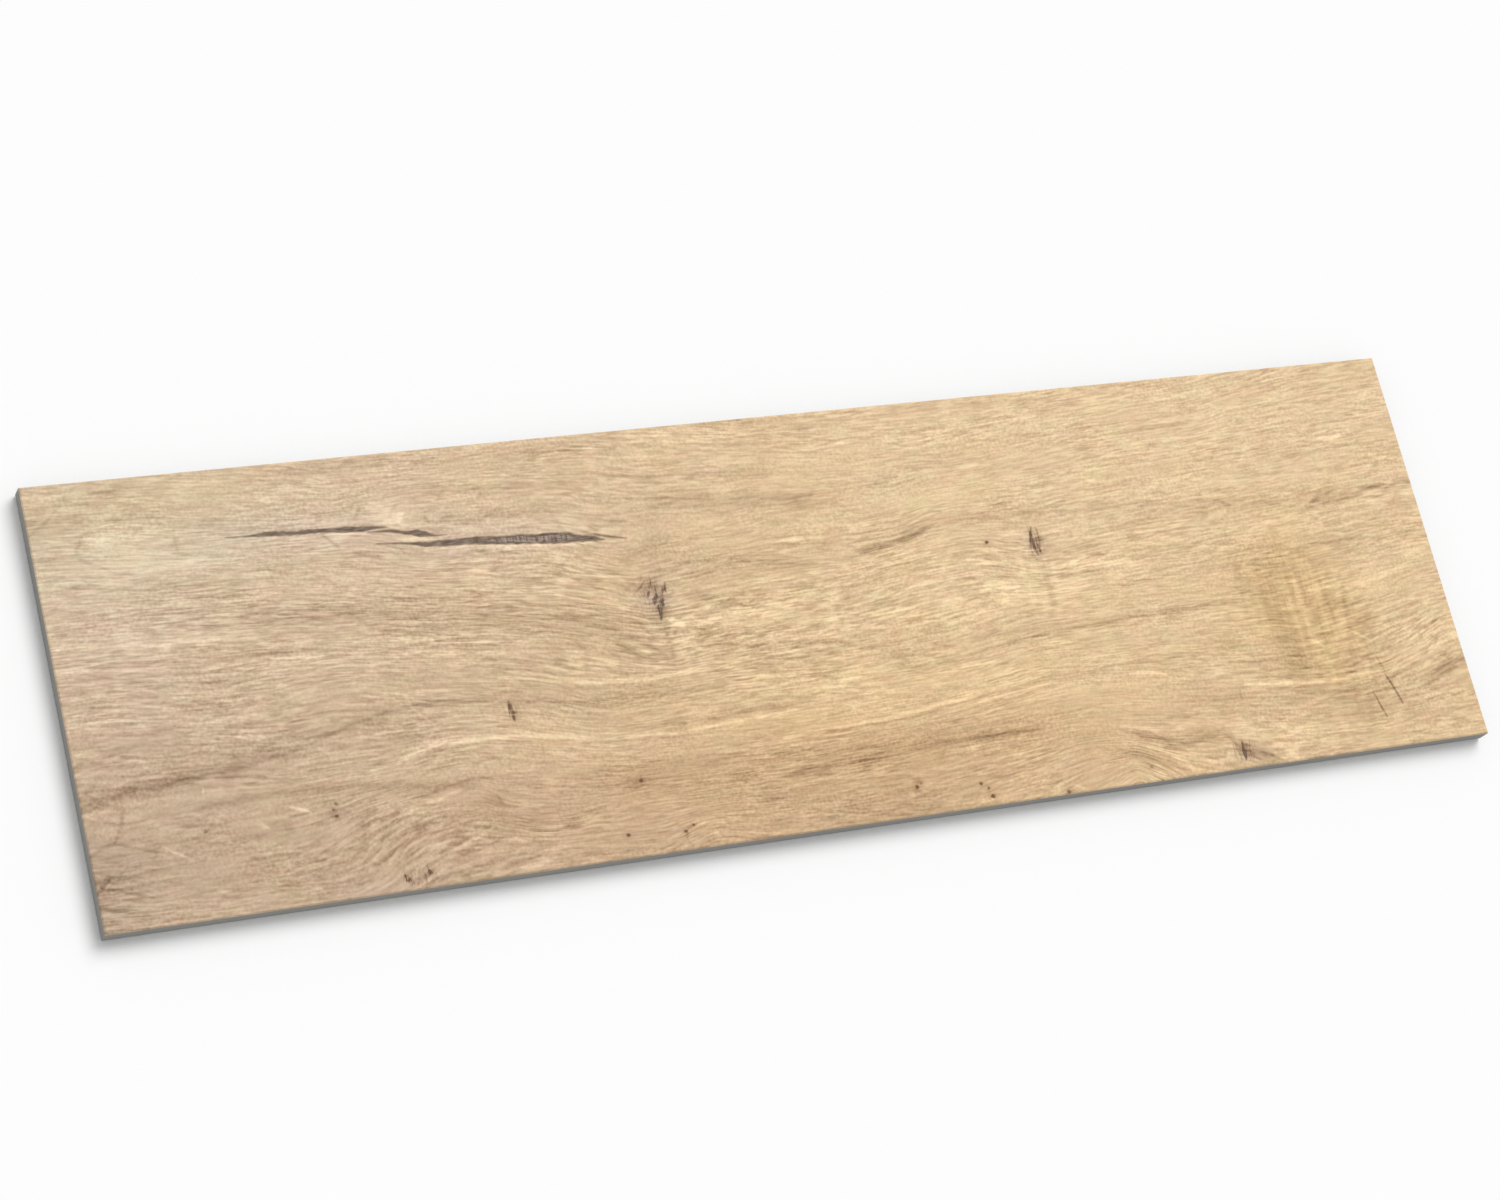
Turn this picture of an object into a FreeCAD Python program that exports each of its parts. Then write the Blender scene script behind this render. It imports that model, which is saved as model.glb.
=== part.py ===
# Wood look porcelain plank tile: one pressed, fired and ground plank that lies face up.
# Millimetres. X runs along the plank, Y across it and Z up.
# The origin is the middle of the bedding plane, on which the ribs of the keyed back stand.
import FreeCAD, Part
import os

from FreeCAD import Vector

# The ground plank
LENGTH = 600.0
WIDTH = 175.0
THICKNESS = 8.0  # over the ribs
FACE_BEVEL = 0.5  # the fine ground bevel round the face
BED_BEVEL = 0.8  # the bevel round the back

# The keyed back: pockets between ribs, inside a plain border
BORDER_WIDTH = 7.0
RIB_WIDTH = 2.5  # at the bedding plane
KEY_PITCH = 40.0  # the wanted step from rib to rib
KEY_DEPTH = 0.7
KEY_CORNER_RADIUS = 3.0  # at a pocket's mouth

SAME_HEIGHT = 1e-6
OUT_FOLDER = "parts"


def edges_at_height(solid, height):
    """The solid's edges that lie level at this height."""
    return [edge for edge in solid.Edges if all(abs(v.Z - height) < SAME_HEIGHT for v in edge.Vertexes)]


def upright_edges(block):
    """The edges of a plain block that run from its bottom to its top."""
    return [edge for edge in block.Edges if edge.BoundBox.ZLength > SAME_HEIGHT]


def ground_plank():
    """The plain plank: a block whose face and back edges are bevelled, and whose corners stay sharp."""
    corner = Vector(-LENGTH / 2, -WIDTH / 2, 0)
    block = Part.makeBox(LENGTH, WIDTH, THICKNESS, corner)
    block = block.makeChamfer(FACE_BEVEL, edges_at_height(block, THICKNESS))
    return block.makeChamfer(BED_BEVEL, edges_at_height(block, 0))


def key_cells(extent):
    """The middles and the size of the pockets along one direction of the back.

    Their count is even, so that a rib runs down the middle of the plank.
    """
    span = extent - 2 * BORDER_WIDTH
    count = 2 * max(1, round((span + RIB_WIDTH) / KEY_PITCH / 2))
    step = (span + RIB_WIDTH) / count
    middles = [(number - (count - 1) / 2) * step for number in range(count)]
    return middles, step - RIB_WIDTH


def key_pocket(size_x, size_y):
    """What the press leaves out for one pocket: a pad with round corners and a bevelled rim.

    The bevel takes up the pocket's whole depth, so its walls lean at 45 degrees and the press lets go.
    The pad carries on upright below the bedding plane, so that the cut leaves no skin.
    """
    corner = Vector(-size_x / 2, -size_y / 2, -KEY_DEPTH)
    pad = Part.makeBox(size_x, size_y, 2 * KEY_DEPTH, corner)
    pad = pad.makeFillet(KEY_CORNER_RADIUS, upright_edges(pad))
    return pad.makeChamfer(KEY_DEPTH, edges_at_height(pad, KEY_DEPTH))


def keyed_plank():
    """The whole tile: the ground plank with its back pocketed between the ribs."""
    middles_x, size_x = key_cells(LENGTH)
    middles_y, size_y = key_cells(WIDTH)
    pocket = key_pocket(size_x, size_y)
    pockets = [pocket.translated(Vector(x, y, 0)) for x in middles_x for y in middles_y]
    return ground_plank().cut(pockets)


def single_solid(shape):
    """The one solid in a result of cuts, checked."""
    (solid,) = shape.Solids
    if not solid.isValid():
        raise ValueError("the tile isn't a valid solid")
    return solid


def main():
    os.makedirs(OUT_FOLDER, exist_ok=True)
    tile = single_solid(keyed_plank())
    tile.exportStep(os.path.join(OUT_FOLDER, "plank_tile.step"))
    print(f"plank_tile: {tile.Volume / 1000:.1f} cm3, {len(tile.Faces)} faces")


main()
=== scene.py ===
import math
from collections import namedtuple

import bpy
import numpy as np
from mathutils import Matrix, Vector


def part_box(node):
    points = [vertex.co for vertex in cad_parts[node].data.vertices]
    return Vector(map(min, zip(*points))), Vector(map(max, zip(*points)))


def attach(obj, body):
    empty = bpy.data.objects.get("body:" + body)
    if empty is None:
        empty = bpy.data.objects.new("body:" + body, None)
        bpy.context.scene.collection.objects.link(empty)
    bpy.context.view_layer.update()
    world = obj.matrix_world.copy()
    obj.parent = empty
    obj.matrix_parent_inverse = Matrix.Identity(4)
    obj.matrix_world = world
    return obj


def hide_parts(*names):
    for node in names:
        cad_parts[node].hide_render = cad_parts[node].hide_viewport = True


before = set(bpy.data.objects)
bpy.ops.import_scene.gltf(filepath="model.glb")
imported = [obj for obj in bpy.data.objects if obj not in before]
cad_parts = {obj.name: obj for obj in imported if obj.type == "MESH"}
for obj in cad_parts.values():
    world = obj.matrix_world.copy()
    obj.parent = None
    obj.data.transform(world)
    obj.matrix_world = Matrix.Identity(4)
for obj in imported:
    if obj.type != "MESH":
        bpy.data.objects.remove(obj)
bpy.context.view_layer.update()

bl_info = {
    "name": "Wood look porcelain plank tile",
    "version": (1, 0, 0),
    "blender": (4, 5, 0),
    "location": "3D View > Sidebar > Plank tile",
    "description": "Builds a fired porcelain plank whose face carries a printed oak grain",
    "category": "Add Mesh",
}

# The listed shapes and patterns are in millimetres from the middle of the face, and the mesh is in metres.
MM = 0.001
NODE = "plank_tile"
BODY = "root"


def printed(red, green, blue):
    """A printed colour, from 0 to 255 for each ink, as the linear light that Blender's colours hold."""
    shares = np.array([red, green, blue]) / 255
    light = np.where(shares <= 0.04045, shares / 12.92, ((shares + 0.055) / 1.055) ** 2.4)
    return tuple(light.tolist())


# The fibres' grid: how far it reaches each way from the middle, its step, how strongly it keeps them even, and
# the rounds that even them out.
FLOW_REACH = (302, 90)
FLOW_STEP = 2
EVENNESS = 0.08
FLOW_ROUNDS = 600

# The grain. Each guide is one fibre line along the whole plank, and they stand from the lowest to the highest.
# The fibres between two guides share out the room between them.
FIBRE_GUIDES = (
    ((-300, -98), (-215, -97), (-190, -95), (-165, -87), (-120, -82), (-83, -82), (-57, -77), (-33, -79),
     (28, -80), (83, -75), (112, -71), (128, -72), (142, -77), (158, -85), (200, -96), (300, -97)),
    ((-300, -81), (-275, -83), (-210, -83), (-195, -80), (-177, -68), (-160, -64), (-148, -65), (-120, -71),
     (-57, -70), (0, -72), (75, -69), (108, -66), (133, -70), (150, -76), (175, -81), (195, -87), (300, -87)),
    ((-300, -70), (-260, -71), (-225, -69), (-210, -66), (-187, -58), (-172, -56), (-150, -56), (-138, -62),
     (-108, -65), (-33, -65), (58, -63), (117, -64), (150, -70), (175, -72), (250, -78), (300, -77)),
    ((-300, -51), (-255, -47), (-218, -45), (-200, -44), (-155, -42), (-125, -46), (-83, -53), (-25, -54),
     (25, -52), (75, -47), (117, -43), (175, -47), (225, -50), (255, -49), (275, -44), (300, -36)),
    ((-300, -29), (-255, -32), (-212, -37), (-187, -37), (-163, -34), (-150, -33), (-133, -35), (-83, -43),
     (0, -41), (75, -36), (100, -33), (200, -33), (225, -34), (255, -31), (300, -25)),
    ((-300, -1), (-225, -6), (-200, -5), (-160, -13), (-125, -18), (-83, -28), (-50, -28), (60, -31),
     (110, -26), (208, -27), (225, -29), (255, -26), (300, -20)),
    ((-300, 7), (-225, 2), (-200, 2), (-125, -7), (-83, -16), (-67, -17), (-25, -16), (0, -19), (58, -20),
     (100, -18), (183, -18), (225, -21), (255, -18), (300, -13)),
    ((-300, 19), (-225, 15), (-150, 7), (-125, 4), (-100, -1), (-72, -11), (-62, -13), (-58, -13.5), (-50, -13),
     (-33, -12.5), (33, -12), (58, -10), (100, -7), (200, -10), (255, -8), (300, -3)),
    ((-300, 29), (-255, 28), (-200, 25), (-150, 19), (-113, 14), (-75, 7), (-60, 4), (-57, 4), (-25, 4),
     (20, 6), (58, 10), (80, 11), (112, 6), (150, 8), (200, 9), (300, 14)),
    ((-300, 35), (-255, 34), (-200, 31), (-150, 25), (-108, 21), (-75, 14), (-61, 11), (-56, 12), (-25, 15),
     (20, 16), (58, 20), (80, 21), (112, 14), (150, 15), (200, 16), (300, 22)),
    ((-300, 46), (-255, 43), (-200, 41), (-150, 35), (-108, 31), (-75, 24), (-62, 21), (-54, 22), (-25, 25),
     (30, 24), (50, 26), (72, 31), (125, 34), (200, 40), (300, 46)),
    ((-300, 62), (-250, 58), (-200, 55), (-175, 54), (-150, 48), (-100, 46), (-67, 38), (-50, 39), (-25, 38),
     (0, 41), (50, 42), (75, 46), (100, 47), (200, 53), (300, 59)),
    ((-300, 69), (-275, 68), (-200, 64), (-175, 65), (-140, 69), (-100, 69), (-50, 63), (0, 62), (50, 60),
     (75, 60), (150, 66), (200, 67), (225, 71), (300, 75)),
    ((-300, 86), (-275, 85), (-200, 79), (-180, 75), (-75, 74), (-50, 70), (0, 68), (28, 66), (72, 65),
     (100, 68), (200, 76), (300, 86)),
    ((-300, 100), (-200, 92), (-150, 88), (-100, 88), (-50, 84), (0, 79), (50, 77), (100, 78), (200, 84),
     (300, 96)),
)

# A soft stroke of the print: its line, its half width, how light or dark it is, and whether it runs across.
# One step of lightness takes the print from its middle brown to its cream.
Stroke = namedtuple("Stroke", "points width shade upright", defaults=(False,))
STROKES = (
    # Soft dark streaks of the left half
    Stroke(((-300, -37), (-275, -35), (-250, -32), (-225, -28), (-200, -23), (-183, -18), (-173, -16),
            (-153, -16), (-128, -18), (-112, -21), (-92, -24), (-60, -24)), 2.4, -0.18),
    Stroke(((-320, -38), (-275, -35), (-250, -32), (-215, -26)), 3.5, -0.2),
    Stroke(((-262, -45), (-225, -43), (-205, -44), (-175, -48), (-145, -50)), 2.2, -0.4),
    Stroke(((-278, 82), (-256, 82)), 2.4, -0.2),
    Stroke(((-320, 72), (-286, 72)), 2, -0.3),
    Stroke(((-232, 27), (-197, 24), (-175, 22), (-150, 18), (-125, 14), (-100, 9), (-70, 2)), 5, -0.3),
    Stroke(((-205, 71), (-150, 71), (-117, 69), (-67, 68), (-42, 66), (10, 63)), 2.2, -0.2),
    Stroke(((-210, 84), (-133, 83), (-60, 82)), 2, -0.16),
    Stroke(((-150, 58), (-100, 57), (-78, 57)), 2.6, -0.28),
    Stroke(((-50, 14), (-28, 13)), 2.4, -0.4),
    Stroke(((-62, 55), (-8, 52), (20, 49)), 3.4, -0.28),
    Stroke(((-92, -35), (-58, -37), (-33, -35), (5, -32)), 2.2, -0.2),
    Stroke(((-105, -50), (-75, -52), (-40, -53)), 2, -0.15),
    # Soft cream streaks of the left half
    Stroke(((-310, 23), (-275, 22), (-250, 19), (-225, 19)), 3, 0.22),
    Stroke(((-196, 43), (-168, 37)), 2, 0.3),
    Stroke(((-140, 34), (-118, 32)), 2.2, 0.35),
    Stroke(((-115, -12), (-92, -16), (-67, -17), (-38, -16)), 2, 0.2),
    Stroke(((-56, 5), (-33, 4), (4, 4)), 3, 0.28),
    Stroke(((-180, -37), (-167, -34), (-150, -33), (-133, -33), (-113, -36), (-98, -39)), 2.4, 0.25),
    Stroke(((-138, -84), (-116, -78)), 2.2, 0.3),
    # Soft dark streaks of the right half
    Stroke(((24, 24), (42, 26), (50, 28), (58, 30), (72, 34)), 2.4, -0.35),
    Stroke(((-12, 25), (0, 23), (14, 23)), 2.4, -0.3),
    Stroke(((10, 30), (26, 29)), 2, -0.22),
    Stroke(((65, 34), (150, 32), (200, 29), (250, 25), (275, 24)), 3.6, -0.24),
    Stroke(((238, 25), (262, 26), (280, 28), (310, 28)), 2.4, -0.25),
    Stroke(((60, -27), (83, -22), (100, -19), (150, -17), (200, -15)), 2, -0.15),
    Stroke(((-30, -64), (0, -62), (28, -60)), 2.6, -0.25),
    Stroke(((30, -59), (60, -59), (96, -59)), 1.6, -0.32),
    Stroke(((228, -48), (250, -46), (264, -43)), 2, -0.2),
    Stroke(((272, -63), (287, -57), (310, -50)), 2.4, -0.35),
    Stroke(((240, 6), (270, 7)), 2, -0.2),
    Stroke(((128, -66), (145, -71), (155, -73), (167, -70), (175, -72), (182, -79), (192, -84), (206, -90)),
           2.8, -0.5),
    Stroke(((122, -73), (138, -78), (152, -84)), 2.4, -0.3),
    Stroke(((148, -55), (196, -58)), 3.6, -0.25),
    # Soft cream streaks of the right half
    Stroke(((118, 10), (142, 8), (162, 6)), 2.2, 0.45),
    Stroke(((78, 7), (104, 2)), 2.4, 0.25),
    Stroke(((-5, -46), (33, -45), (67, -41), (98, -37)), 2.2, 0.2),
    Stroke(((186, -52), (217, -54), (246, -55)), 2.2, 0.2),
    Stroke(((262, -43), (283, -34), (310, -28)), 1.7, 0.2),
    Stroke(((165, 59), (200, 60)), 1.6, 0.25),
    Stroke(((134, 39), (152, 39)), 1.6, 0.25),
    # Streaks that run across the grain
    Stroke(((14, 214), (-8, 214), (-38, 217), (-70, 216)), 6, -0.42, True),
    Stroke(((4, 202), (-28, 201)), 1.8, -0.3, True),
    Stroke(((12, 224), (-22, 225), (-40, 226)), 1.2, -0.25, True),
    Stroke(((2, 230), (-12, 231), (-36, 233)), 1.8, -0.4, True),
    Stroke(((5, 239), (-22, 241), (-34, 242)), 1.1, -0.35, True),
    Stroke(((-8, 251), (-38, 247), (-54, 246)), 1.1, -0.3, True),
    Stroke(((-4, 228), (-22, 228)), 1.2, 0.4, True),
    Stroke(((-4, 220), (-20, 221)), 1.1, 0.3, True),
    Stroke(((22, -57), (10, -58), (-20, -57)), 1.2, -0.3, True),
    Stroke(((15, 113), (0, 113), (-12, 113)), 1.1, -0.35, True),
    Stroke(((14, 117), (-10, 116)), 1, 0.35, True),
    Stroke(((15, 109), (-9, 108)), 1, 0.35, True),
    Stroke(((20, 39.6), (9, 39.6)), 0.9, -0.25, True),
    Stroke(((14, 14), (-30, 14)), 3.4, 0.18, True),
    Stroke(((-50, -182), (-62, -183)), 1, -0.3, True),
    Stroke(((-70, 231), (-88, 233)), 1.6, 0.4, True),
)

# A soft oval patch of the print: its middle, its half length and half width, and how light or dark it is.
Patch = namedtuple("Patch", "x y length width shade")


def patches(*rows):
    """Rows of numbers as patches."""
    return tuple(Patch(*row) for row in rows)


PATCHES = patches(
    (-267, 61, 18, 8, 0.3), (-245, 52, 26, 6, 0.3), (-300, 47, 14, 3, 0.25), (-158, 61, 9, 5, 0.45),
    (-92, 54, 9, 4, 0.28), (-60, 17, 7, 7, -0.5), (-57, 11, 3.5, 6, -0.45), (-56, 36, 9, 10, -0.3),
    (-74, 3, 14, 7, -0.25), (-143, -22, 12, 4, 0.2), (-128, -22, 3, 5, -0.3), (-258, -25, 62, 11, -0.32),
    (-175, 72, 75, 18, 0.16), (-25, 26, 26, 10, -0.17), (-283, 46, 26, 12, 0.14), (-176, -58, 5, 3, 0.35),
    (-182, 54.6, 5, 1.6, 0.6), (-52, 4, 5, 2.2, 0.5), (207, -76, 14, 5, 0.25), (-180, -24, 42, 15, -0.16),
    (10, -66, 100, 16, -0.1), (60, -18, 150, 14, -0.08), (-83, -57, 7, 3, -0.3), (-143, -57, 5, 4, -0.25),
    (-296, -68, 9, 9, -0.2), (-300, -40, 26, 12, -0.22), (-240, -46, 60, 8, -0.12), (-42, 80, 26, 7, 0.2),
    (12, 49, 22, 6, -0.22), (20, -83, 26, 9, -0.3), (45, -60, 60, 8, -0.15), (112.5, 20, 3.5, 7, -0.45),
    (122, -1, 8, 5, 0.4), (100, -3, 8, 4, 0.3), (68, -1, 9, 3, 0.3), (5, -29, 12, 3, 0.4),
    (232, -28, 38, 42, -0.24), (246, -21, 13, 4, -0.25), (247, -65, 18, 9, -0.28), (188, -57, 4, 3, -0.3),
    (184, -71, 7, 4, 0.4), (181, -80, 5, 4, -0.55), (223, -87, 10, 3, -0.5), (267, -14, 14, 5, 0.35),
    (292, -2, 12, 4, 0.3), (192, 37, 12, 4, 0.2),
)

# How far round a mark its distances are kept, the distance that stands for none near, and the sheets of marks.
MARK_REACH = 2.2
FAR = 9.0
MARK_SHEETS = 6

# A mark of the print with an edge: how dark it is, or how pale below 0, and its line as x, y and width there.
# Above PRESSED it is a crack or a hole, which is pressed into the face. Above FILLED its own dark fill begins
# to hide the wood, and at 1 it hides it.
PRESSED = 0.7
FILLED = 0.8
Mark = namedtuple("Mark", "ink line")
MARKS = (
    # The two drying cracks and their hairs
    Mark(1, ((-226, 59.2, 0.1), (-216, 58.8, 0.6), (-211, 58.9, 1.4), (-208, 58.9, 1.9), (-200, 58.2, 1.6),
             (-188, 57.9, 1.4), (-180, 57.5, 2.1), (-172, 57, 2.3), (-165, 56.9, 1), (-161, 56.6, 0))),
    Mark(1, ((-170, 55.4, 0.1), (-160, 54.9, 1.1), (-154, 53.3, 1.3), (-150, 53, 2.9), (-147, 52.2, 2),
             (-144, 51.2, 0.6), (-138, 51, 0))),
    Mark(1, ((-168, 50.3, 0.2), (-158, 49.5, 0.7), (-153, 48.8, 0.9), (-148, 48, 1.8), (-140, 47.7, 2.4),
             (-128, 47.5, 2.9), (-118, 46.5, 3.3), (-110, 46, 4), (-104, 45.5, 3.6), (-95, 44.9, 4.5),
             (-90, 44.6, 4.2), (-86, 43.9, 2.9), (-80, 43.2, 2.2), (-76.5, 42.3, 0.9), (-74, 42, 0))),
    Mark(0.9, ((-79, 44.9, 0.6), (-71, 42.8, 0.9), (-65, 41.6, 0.2))),
    Mark(0.5, ((-84, 45.9, 0.4), (-78, 46.3, 0.4), (-76, 46, 0))),
    Mark(0.6, ((-190, 60, 0.2), (-187, 55, 0.6), (-182, 49.5, 0.2))),
    Mark(0.5, ((-191, 57.5, 0.5), (-190, 55, 0.3))),
    Mark(0.4, ((-130, 44, 0.2), (-126, 42.8, 0.7), (-122, 42.2, 0.1))),
    # The knot in the middle, with the seam below it
    Mark(1, ((-56.4, 14.9, 1), (-57.4, 13, 2), (-58.3, 10.6, 1.4), (-58.8, 8, 0.9), (-59.4, 5.6, 0.2))),
    Mark(1, ((-60.4, 12.8, 0.6), (-59.9, 14.6, 1.8), (-59.1, 16.2, 1.6), (-58.7, 17.4, 0.4))),
    Mark(0.8, ((-63, 15.3, 0.3), (-61.9, 17.3, 1), (-61, 18.5, 0.3))),
    Mark(0.8, ((-66.3, 19.4, 0.4), (-64.6, 20.5, 1.1), (-62.4, 23, 0.3))),
    Mark(0.7, ((-61.3, 19.7, 0.5), (-60.3, 21.3, 0.8), (-59.4, 23.6, 0.2))),
    Mark(0.75, ((-56.8, 15.8, 0.4), (-55.6, 17.6, 1.3), (-54.4, 19.6, 1.4), (-53.8, 21.6, 0.4))),
    Mark(0.5, ((-69, 16.6, 0.2), (-66.2, 19.4, 0.6))),
    Mark(0.4, ((-62.6, 26.4, 0.4), (-64.8, 21.6, 0.5))),
    Mark(0.45, ((-57, 23.4, 0.4), (-58.4, 18.8, 0.5))),
    Mark(-0.35, ((-60.4, 19, 0.7), (-61.6, 14.8, 0.5))),
    Mark(0.3, ((-66, 23.6, 0.3), (-71, 20, 0.5), (-73, 18, 0.2))),
    Mark(0.22, ((-58.6, 3.5, 0.6), (-57.8, -4, 0.9), (-57.6, -9.5, 0.3))),
    # The knot at the right of the middle, and the pin hole beside it
    Mark(0.9, ((112.1, 14.6, 0.4), (111.9, 16.6, 1.7), (111.2, 19.4, 2), (110.9, 22.4, 1.4), (111.4, 25, 0.8),
               (112.2, 27.4, 0.3))),
    Mark(0.5, ((114.3, 27, 0.4), (114.4, 23, 1.6), (113.2, 18, 1.5), (112.8, 15, 0.4))),
    Mark(0.8, ((113.7, 15.3, 0.4), (113.4, 17.2, 1.1), (113.1, 19.6, 0.4))),
    Mark(0.45, ((114.2, 26.4, 0.6), (115.2, 23.6, 1), (114.8, 20.6, 1), (114, 18.6, 0.4))),
    Mark(0.4, ((107.8, 16.8, 0.4), (107.9, 13.6, 0.6), (107.2, 11.2, 0.2))),
    Mark(0.35, ((99, 16.4, 0.3), (97.4, 15, 0.7), (99.8, 14, 0.3))),
    # The drying marks that fan out at the left end
    Mark(0.45, ((-285, -40.5, 1.8), (-285.9, -46, 2.1), (-288, -51, 1.5), (-290, -54, 1.2))),
    Mark(0.5, ((-301, -58.2, 1.6), (-295, -55.3, 1.4), (-290.4, -54, 1.4), (-285, -56, 1.1),
               (-278, -58.6, 0.9), (-272, -60.2, 0.1))),
    Mark(0.55, ((-301, -67.5, 2.2), (-293, -68, 2), (-285, -67, 1.3), (-276, -66, 0.9), (-267, -65, 0.1))),
    Mark(0.5, ((-301, -63.3, 0.8), (-296, -65.3, 0.9), (-293, -66.5, 0.7))),
    Mark(0.4, ((-296, -67, 0.9), (-289, -65.6, 0.7), (-286.5, -62.6, 0.2))),
    Mark(0.5, ((-298, -70, 1.3), (-290, -72.3, 1.4), (-284, -74.5, 1.4), (-279, -76.4, 0.3))),
    Mark(0.6, ((-301, -72.4, 2), (-297, -69.4, 1.3), (-294, -67, 1))),
    Mark(0.45, ((-301, -76.6, 1.3), (-294, -79.3, 1.1), (-288, -81, 0.3))),
    Mark(0.25, ((-301, -75, 1.2), (-284, -76, 0.6))),
    Mark(0.4, ((-301, 66.8, 1.2), (-293, 72, 1.2), (-286, 78.6, 0.5))),
    Mark(0.45, ((-301, -37.1, 1), (-290, -36.2, 0.9), (-280, -35.6, 0.5), (-273, -34, 0.2))),
    Mark(0.5, ((-280, -34.2, 0.3), (-271, -35.7, 0.9), (-267, -35.4, 0))),
    Mark(0.45, ((-283, -29.3, 0.4), (-276, -29.8, 0.7), (-269, -29.9, 0.1))),
    Mark(0.35, ((-301, -31.2, 0.6), (-294, -31.6, 0.6), (-287, -32.3, 0.1))),
    Mark(0.35, ((-250, -33.9, 0.3), (-245, -34.8, 0.6), (-235, -35.7, 0.1))),
    Mark(0.4, ((-301, -25, 1.2), (-298, -22.6, 0.8), (-292, -20.8, 0.2))),
    # The brown outline of the pale round end
    Mark(0.4, ((-258, 45.4, 0.6), (-266, 48.9, 0.9), (-271, 49.9, 0.8), (-276, 53.3, 1.3), (-280, 54.6, 1.8),
               (-283, 57.4, 1.5), (-283.4, 60.5, 0.9), (-281, 62.6, 1.2), (-281, 65.4, 0.8),
               (-276, 67.6, 0.8))),
    Mark(0.35, ((-245, 64.5, 0.9), (-245.5, 60, 0.6), (-245, 55.5, 1))),
    # Strokes and small knots along the near edge
    Mark(0.6, ((-225, -70.4, 0.2), (-216, -69.3, 0.6), (-211, -66.8, 0.8), (-206.5, -65.2, 0.6),
               (-205.3, -64.4, 0))),
    Mark(0.4, ((-216.5, -50.3, 0.7), (-214, -49.7, 0.5))),
    Mark(0.5, ((-182, -79, 0.3), (-183, -86, 0.6))),
    Mark(0.5, ((-178.4, -78.6, 0.3), (-180.4, -85.6, 0.6))),
    Mark(0.5, ((-176.5, -83, 0.4), (-177.6, -87, 0.5))),
    Mark(0.85, ((-129.2, -19, 0.4), (-129, -21.4, 1.8), (-128.8, -24, 1.7), (-128.4, -27.4, 0.4))),
    Mark(0.6, ((-127, -20.6, 0.4), (-126.9, -23.4, 0.9), (-127.6, -26.4, 0.4))),
    Mark(0.4, ((-120, -37.3, 0.9), (-119.7, -40.8, 1.2))),
    Mark(0.55, ((-142.3, -55.3, 0.4), (-141, -58.3, 1.3), (-140.6, -59.6, 0.3))),
    Mark(0.3, ((-139.4, -50.6, 0.4), (-137.5, -55.6, 0.5), (-133.8, -60.2, 0.2))),
    Mark(0.3, ((-100.3, -51.6, 0.2), (-99.5, -54.5, 0.7), (-97.8, -58.2, 0.2))),
    Mark(0.3, ((-65, -50, 0.5), (-64.5, -53.4, 0.7))),
    Mark(0.4, ((-70.2, -81.4, 0.5), (-70, -84, 0.4), (-68.3, -87, 0.4))),
    Mark(0.5, ((22.4, -55.6, 0.4), (21.6, -57.3, 0.5))),
    Mark(0.35, ((-23, -62.8, 0.6), (-16, -62.2, 1.2), (-9, -61.6, 0.3))),
    Mark(0.2, ((34, -58.8, 0.6), (62, -58.4, 0.8), (92, -58.6, 0.3))),
    # The knot near the right of the near edge
    Mark(0.9, ((181.2, -76, 0.3), (181.5, -78.5, 1.6), (181.4, -81, 1.9), (180.8, -84, 0.5))),
    Mark(0.5, ((182.5, -79.8, 1), (187.4, -80.4, 0.4))),
    Mark(0.45, ((175, -72.5, 0.4), (178.4, -77, 0.7), (181.4, -80, 0.8))),
    Mark(0.6, ((183, -77, 0.4), (185.2, -79.4, 0.8))),
    Mark(0.6, ((177.8, -80.2, 0.3), (181.8, -79.6, 0.7))),
    Mark(0.5, ((183.5, -82, 0.5), (188, -84.8, 0.4))),
    Mark(0.45, ((188, -81.4, 0.4), (193, -83, 0.8), (196, -85.4, 0.8), (200, -87.4, 0.5))),
    Mark(0.45, ((179.5, -83, 0.3), (178.3, -84.8, 0.6))),
    Mark(0.4, ((187, -52.6, 0.4), (187, -55.5, 1.4), (187.2, -57.5, 0.8), (188.9, -58.3, 0.2))),
    Mark(0.4, ((146, -60.6, 0.3), (147.2, -63.4, 0.5))),
    # Fine scratches and pale flecks of the right end
    Mark(0.7, ((256.4, -46.8, 0.3), (257.5, -50, 0.45), (258.6, -54.3, 0.3))),
    Mark(0.9, ((258.6, -56.4, 0.4), (260, -60, 0.8), (262.3, -67.5, 0.6), (262.7, -69.6, 0.2))),
    Mark(0.85, ((250.2, -62.6, 0.2), (252, -70, 0.7), (253.4, -74.2, 0.3))),
    Mark(-0.8, ((225.5, -36.1, 0.3), (230, -37.3, 0.8), (232.8, -39.9, 0.3))),
    Mark(-0.7, ((245.6, -33.5, 0.4), (251, -36.5, 0.7), (255.2, -39.6, 0.3))),
    Mark(-0.5, ((149, -41.4, 0.4), (155, -43, 0.8), (159, -43.4, 0.2))),
    Mark(0.3, ((278, -63, 0.5), (290, -57, 0.8), (299, -53.4, 0.5))),
    # Pale flecks of the left half
    Mark(-0.7, ((-273, -57.2, 0.3), (-269.5, -60.2, 0.9), (-266, -62, 1), (-264.8, -62.8, 0.1))),
    Mark(-0.8, ((-254.2, -39.9, 0.6), (-253.8, -37.8, 0.7))),
    Mark(-0.7, ((-285, -21.8, 1.2), (-282.4, -22, 1.2))),
    Mark(-0.5, ((-298.6, -19, 1), (-296.4, -18.9, 1))),
    Mark(-0.5, ((-222, -49.6, 0.5), (-218, -50.6, 0.8), (-215, -52.6, 0.5))),
    Mark(-0.4, ((-235, -53.4, 0.4), (-232, -56.2, 0.6))),
    Mark(-0.5, ((-177.6, -9.6, 0.3), (-171.5, -14.8, 0.9))),
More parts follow.
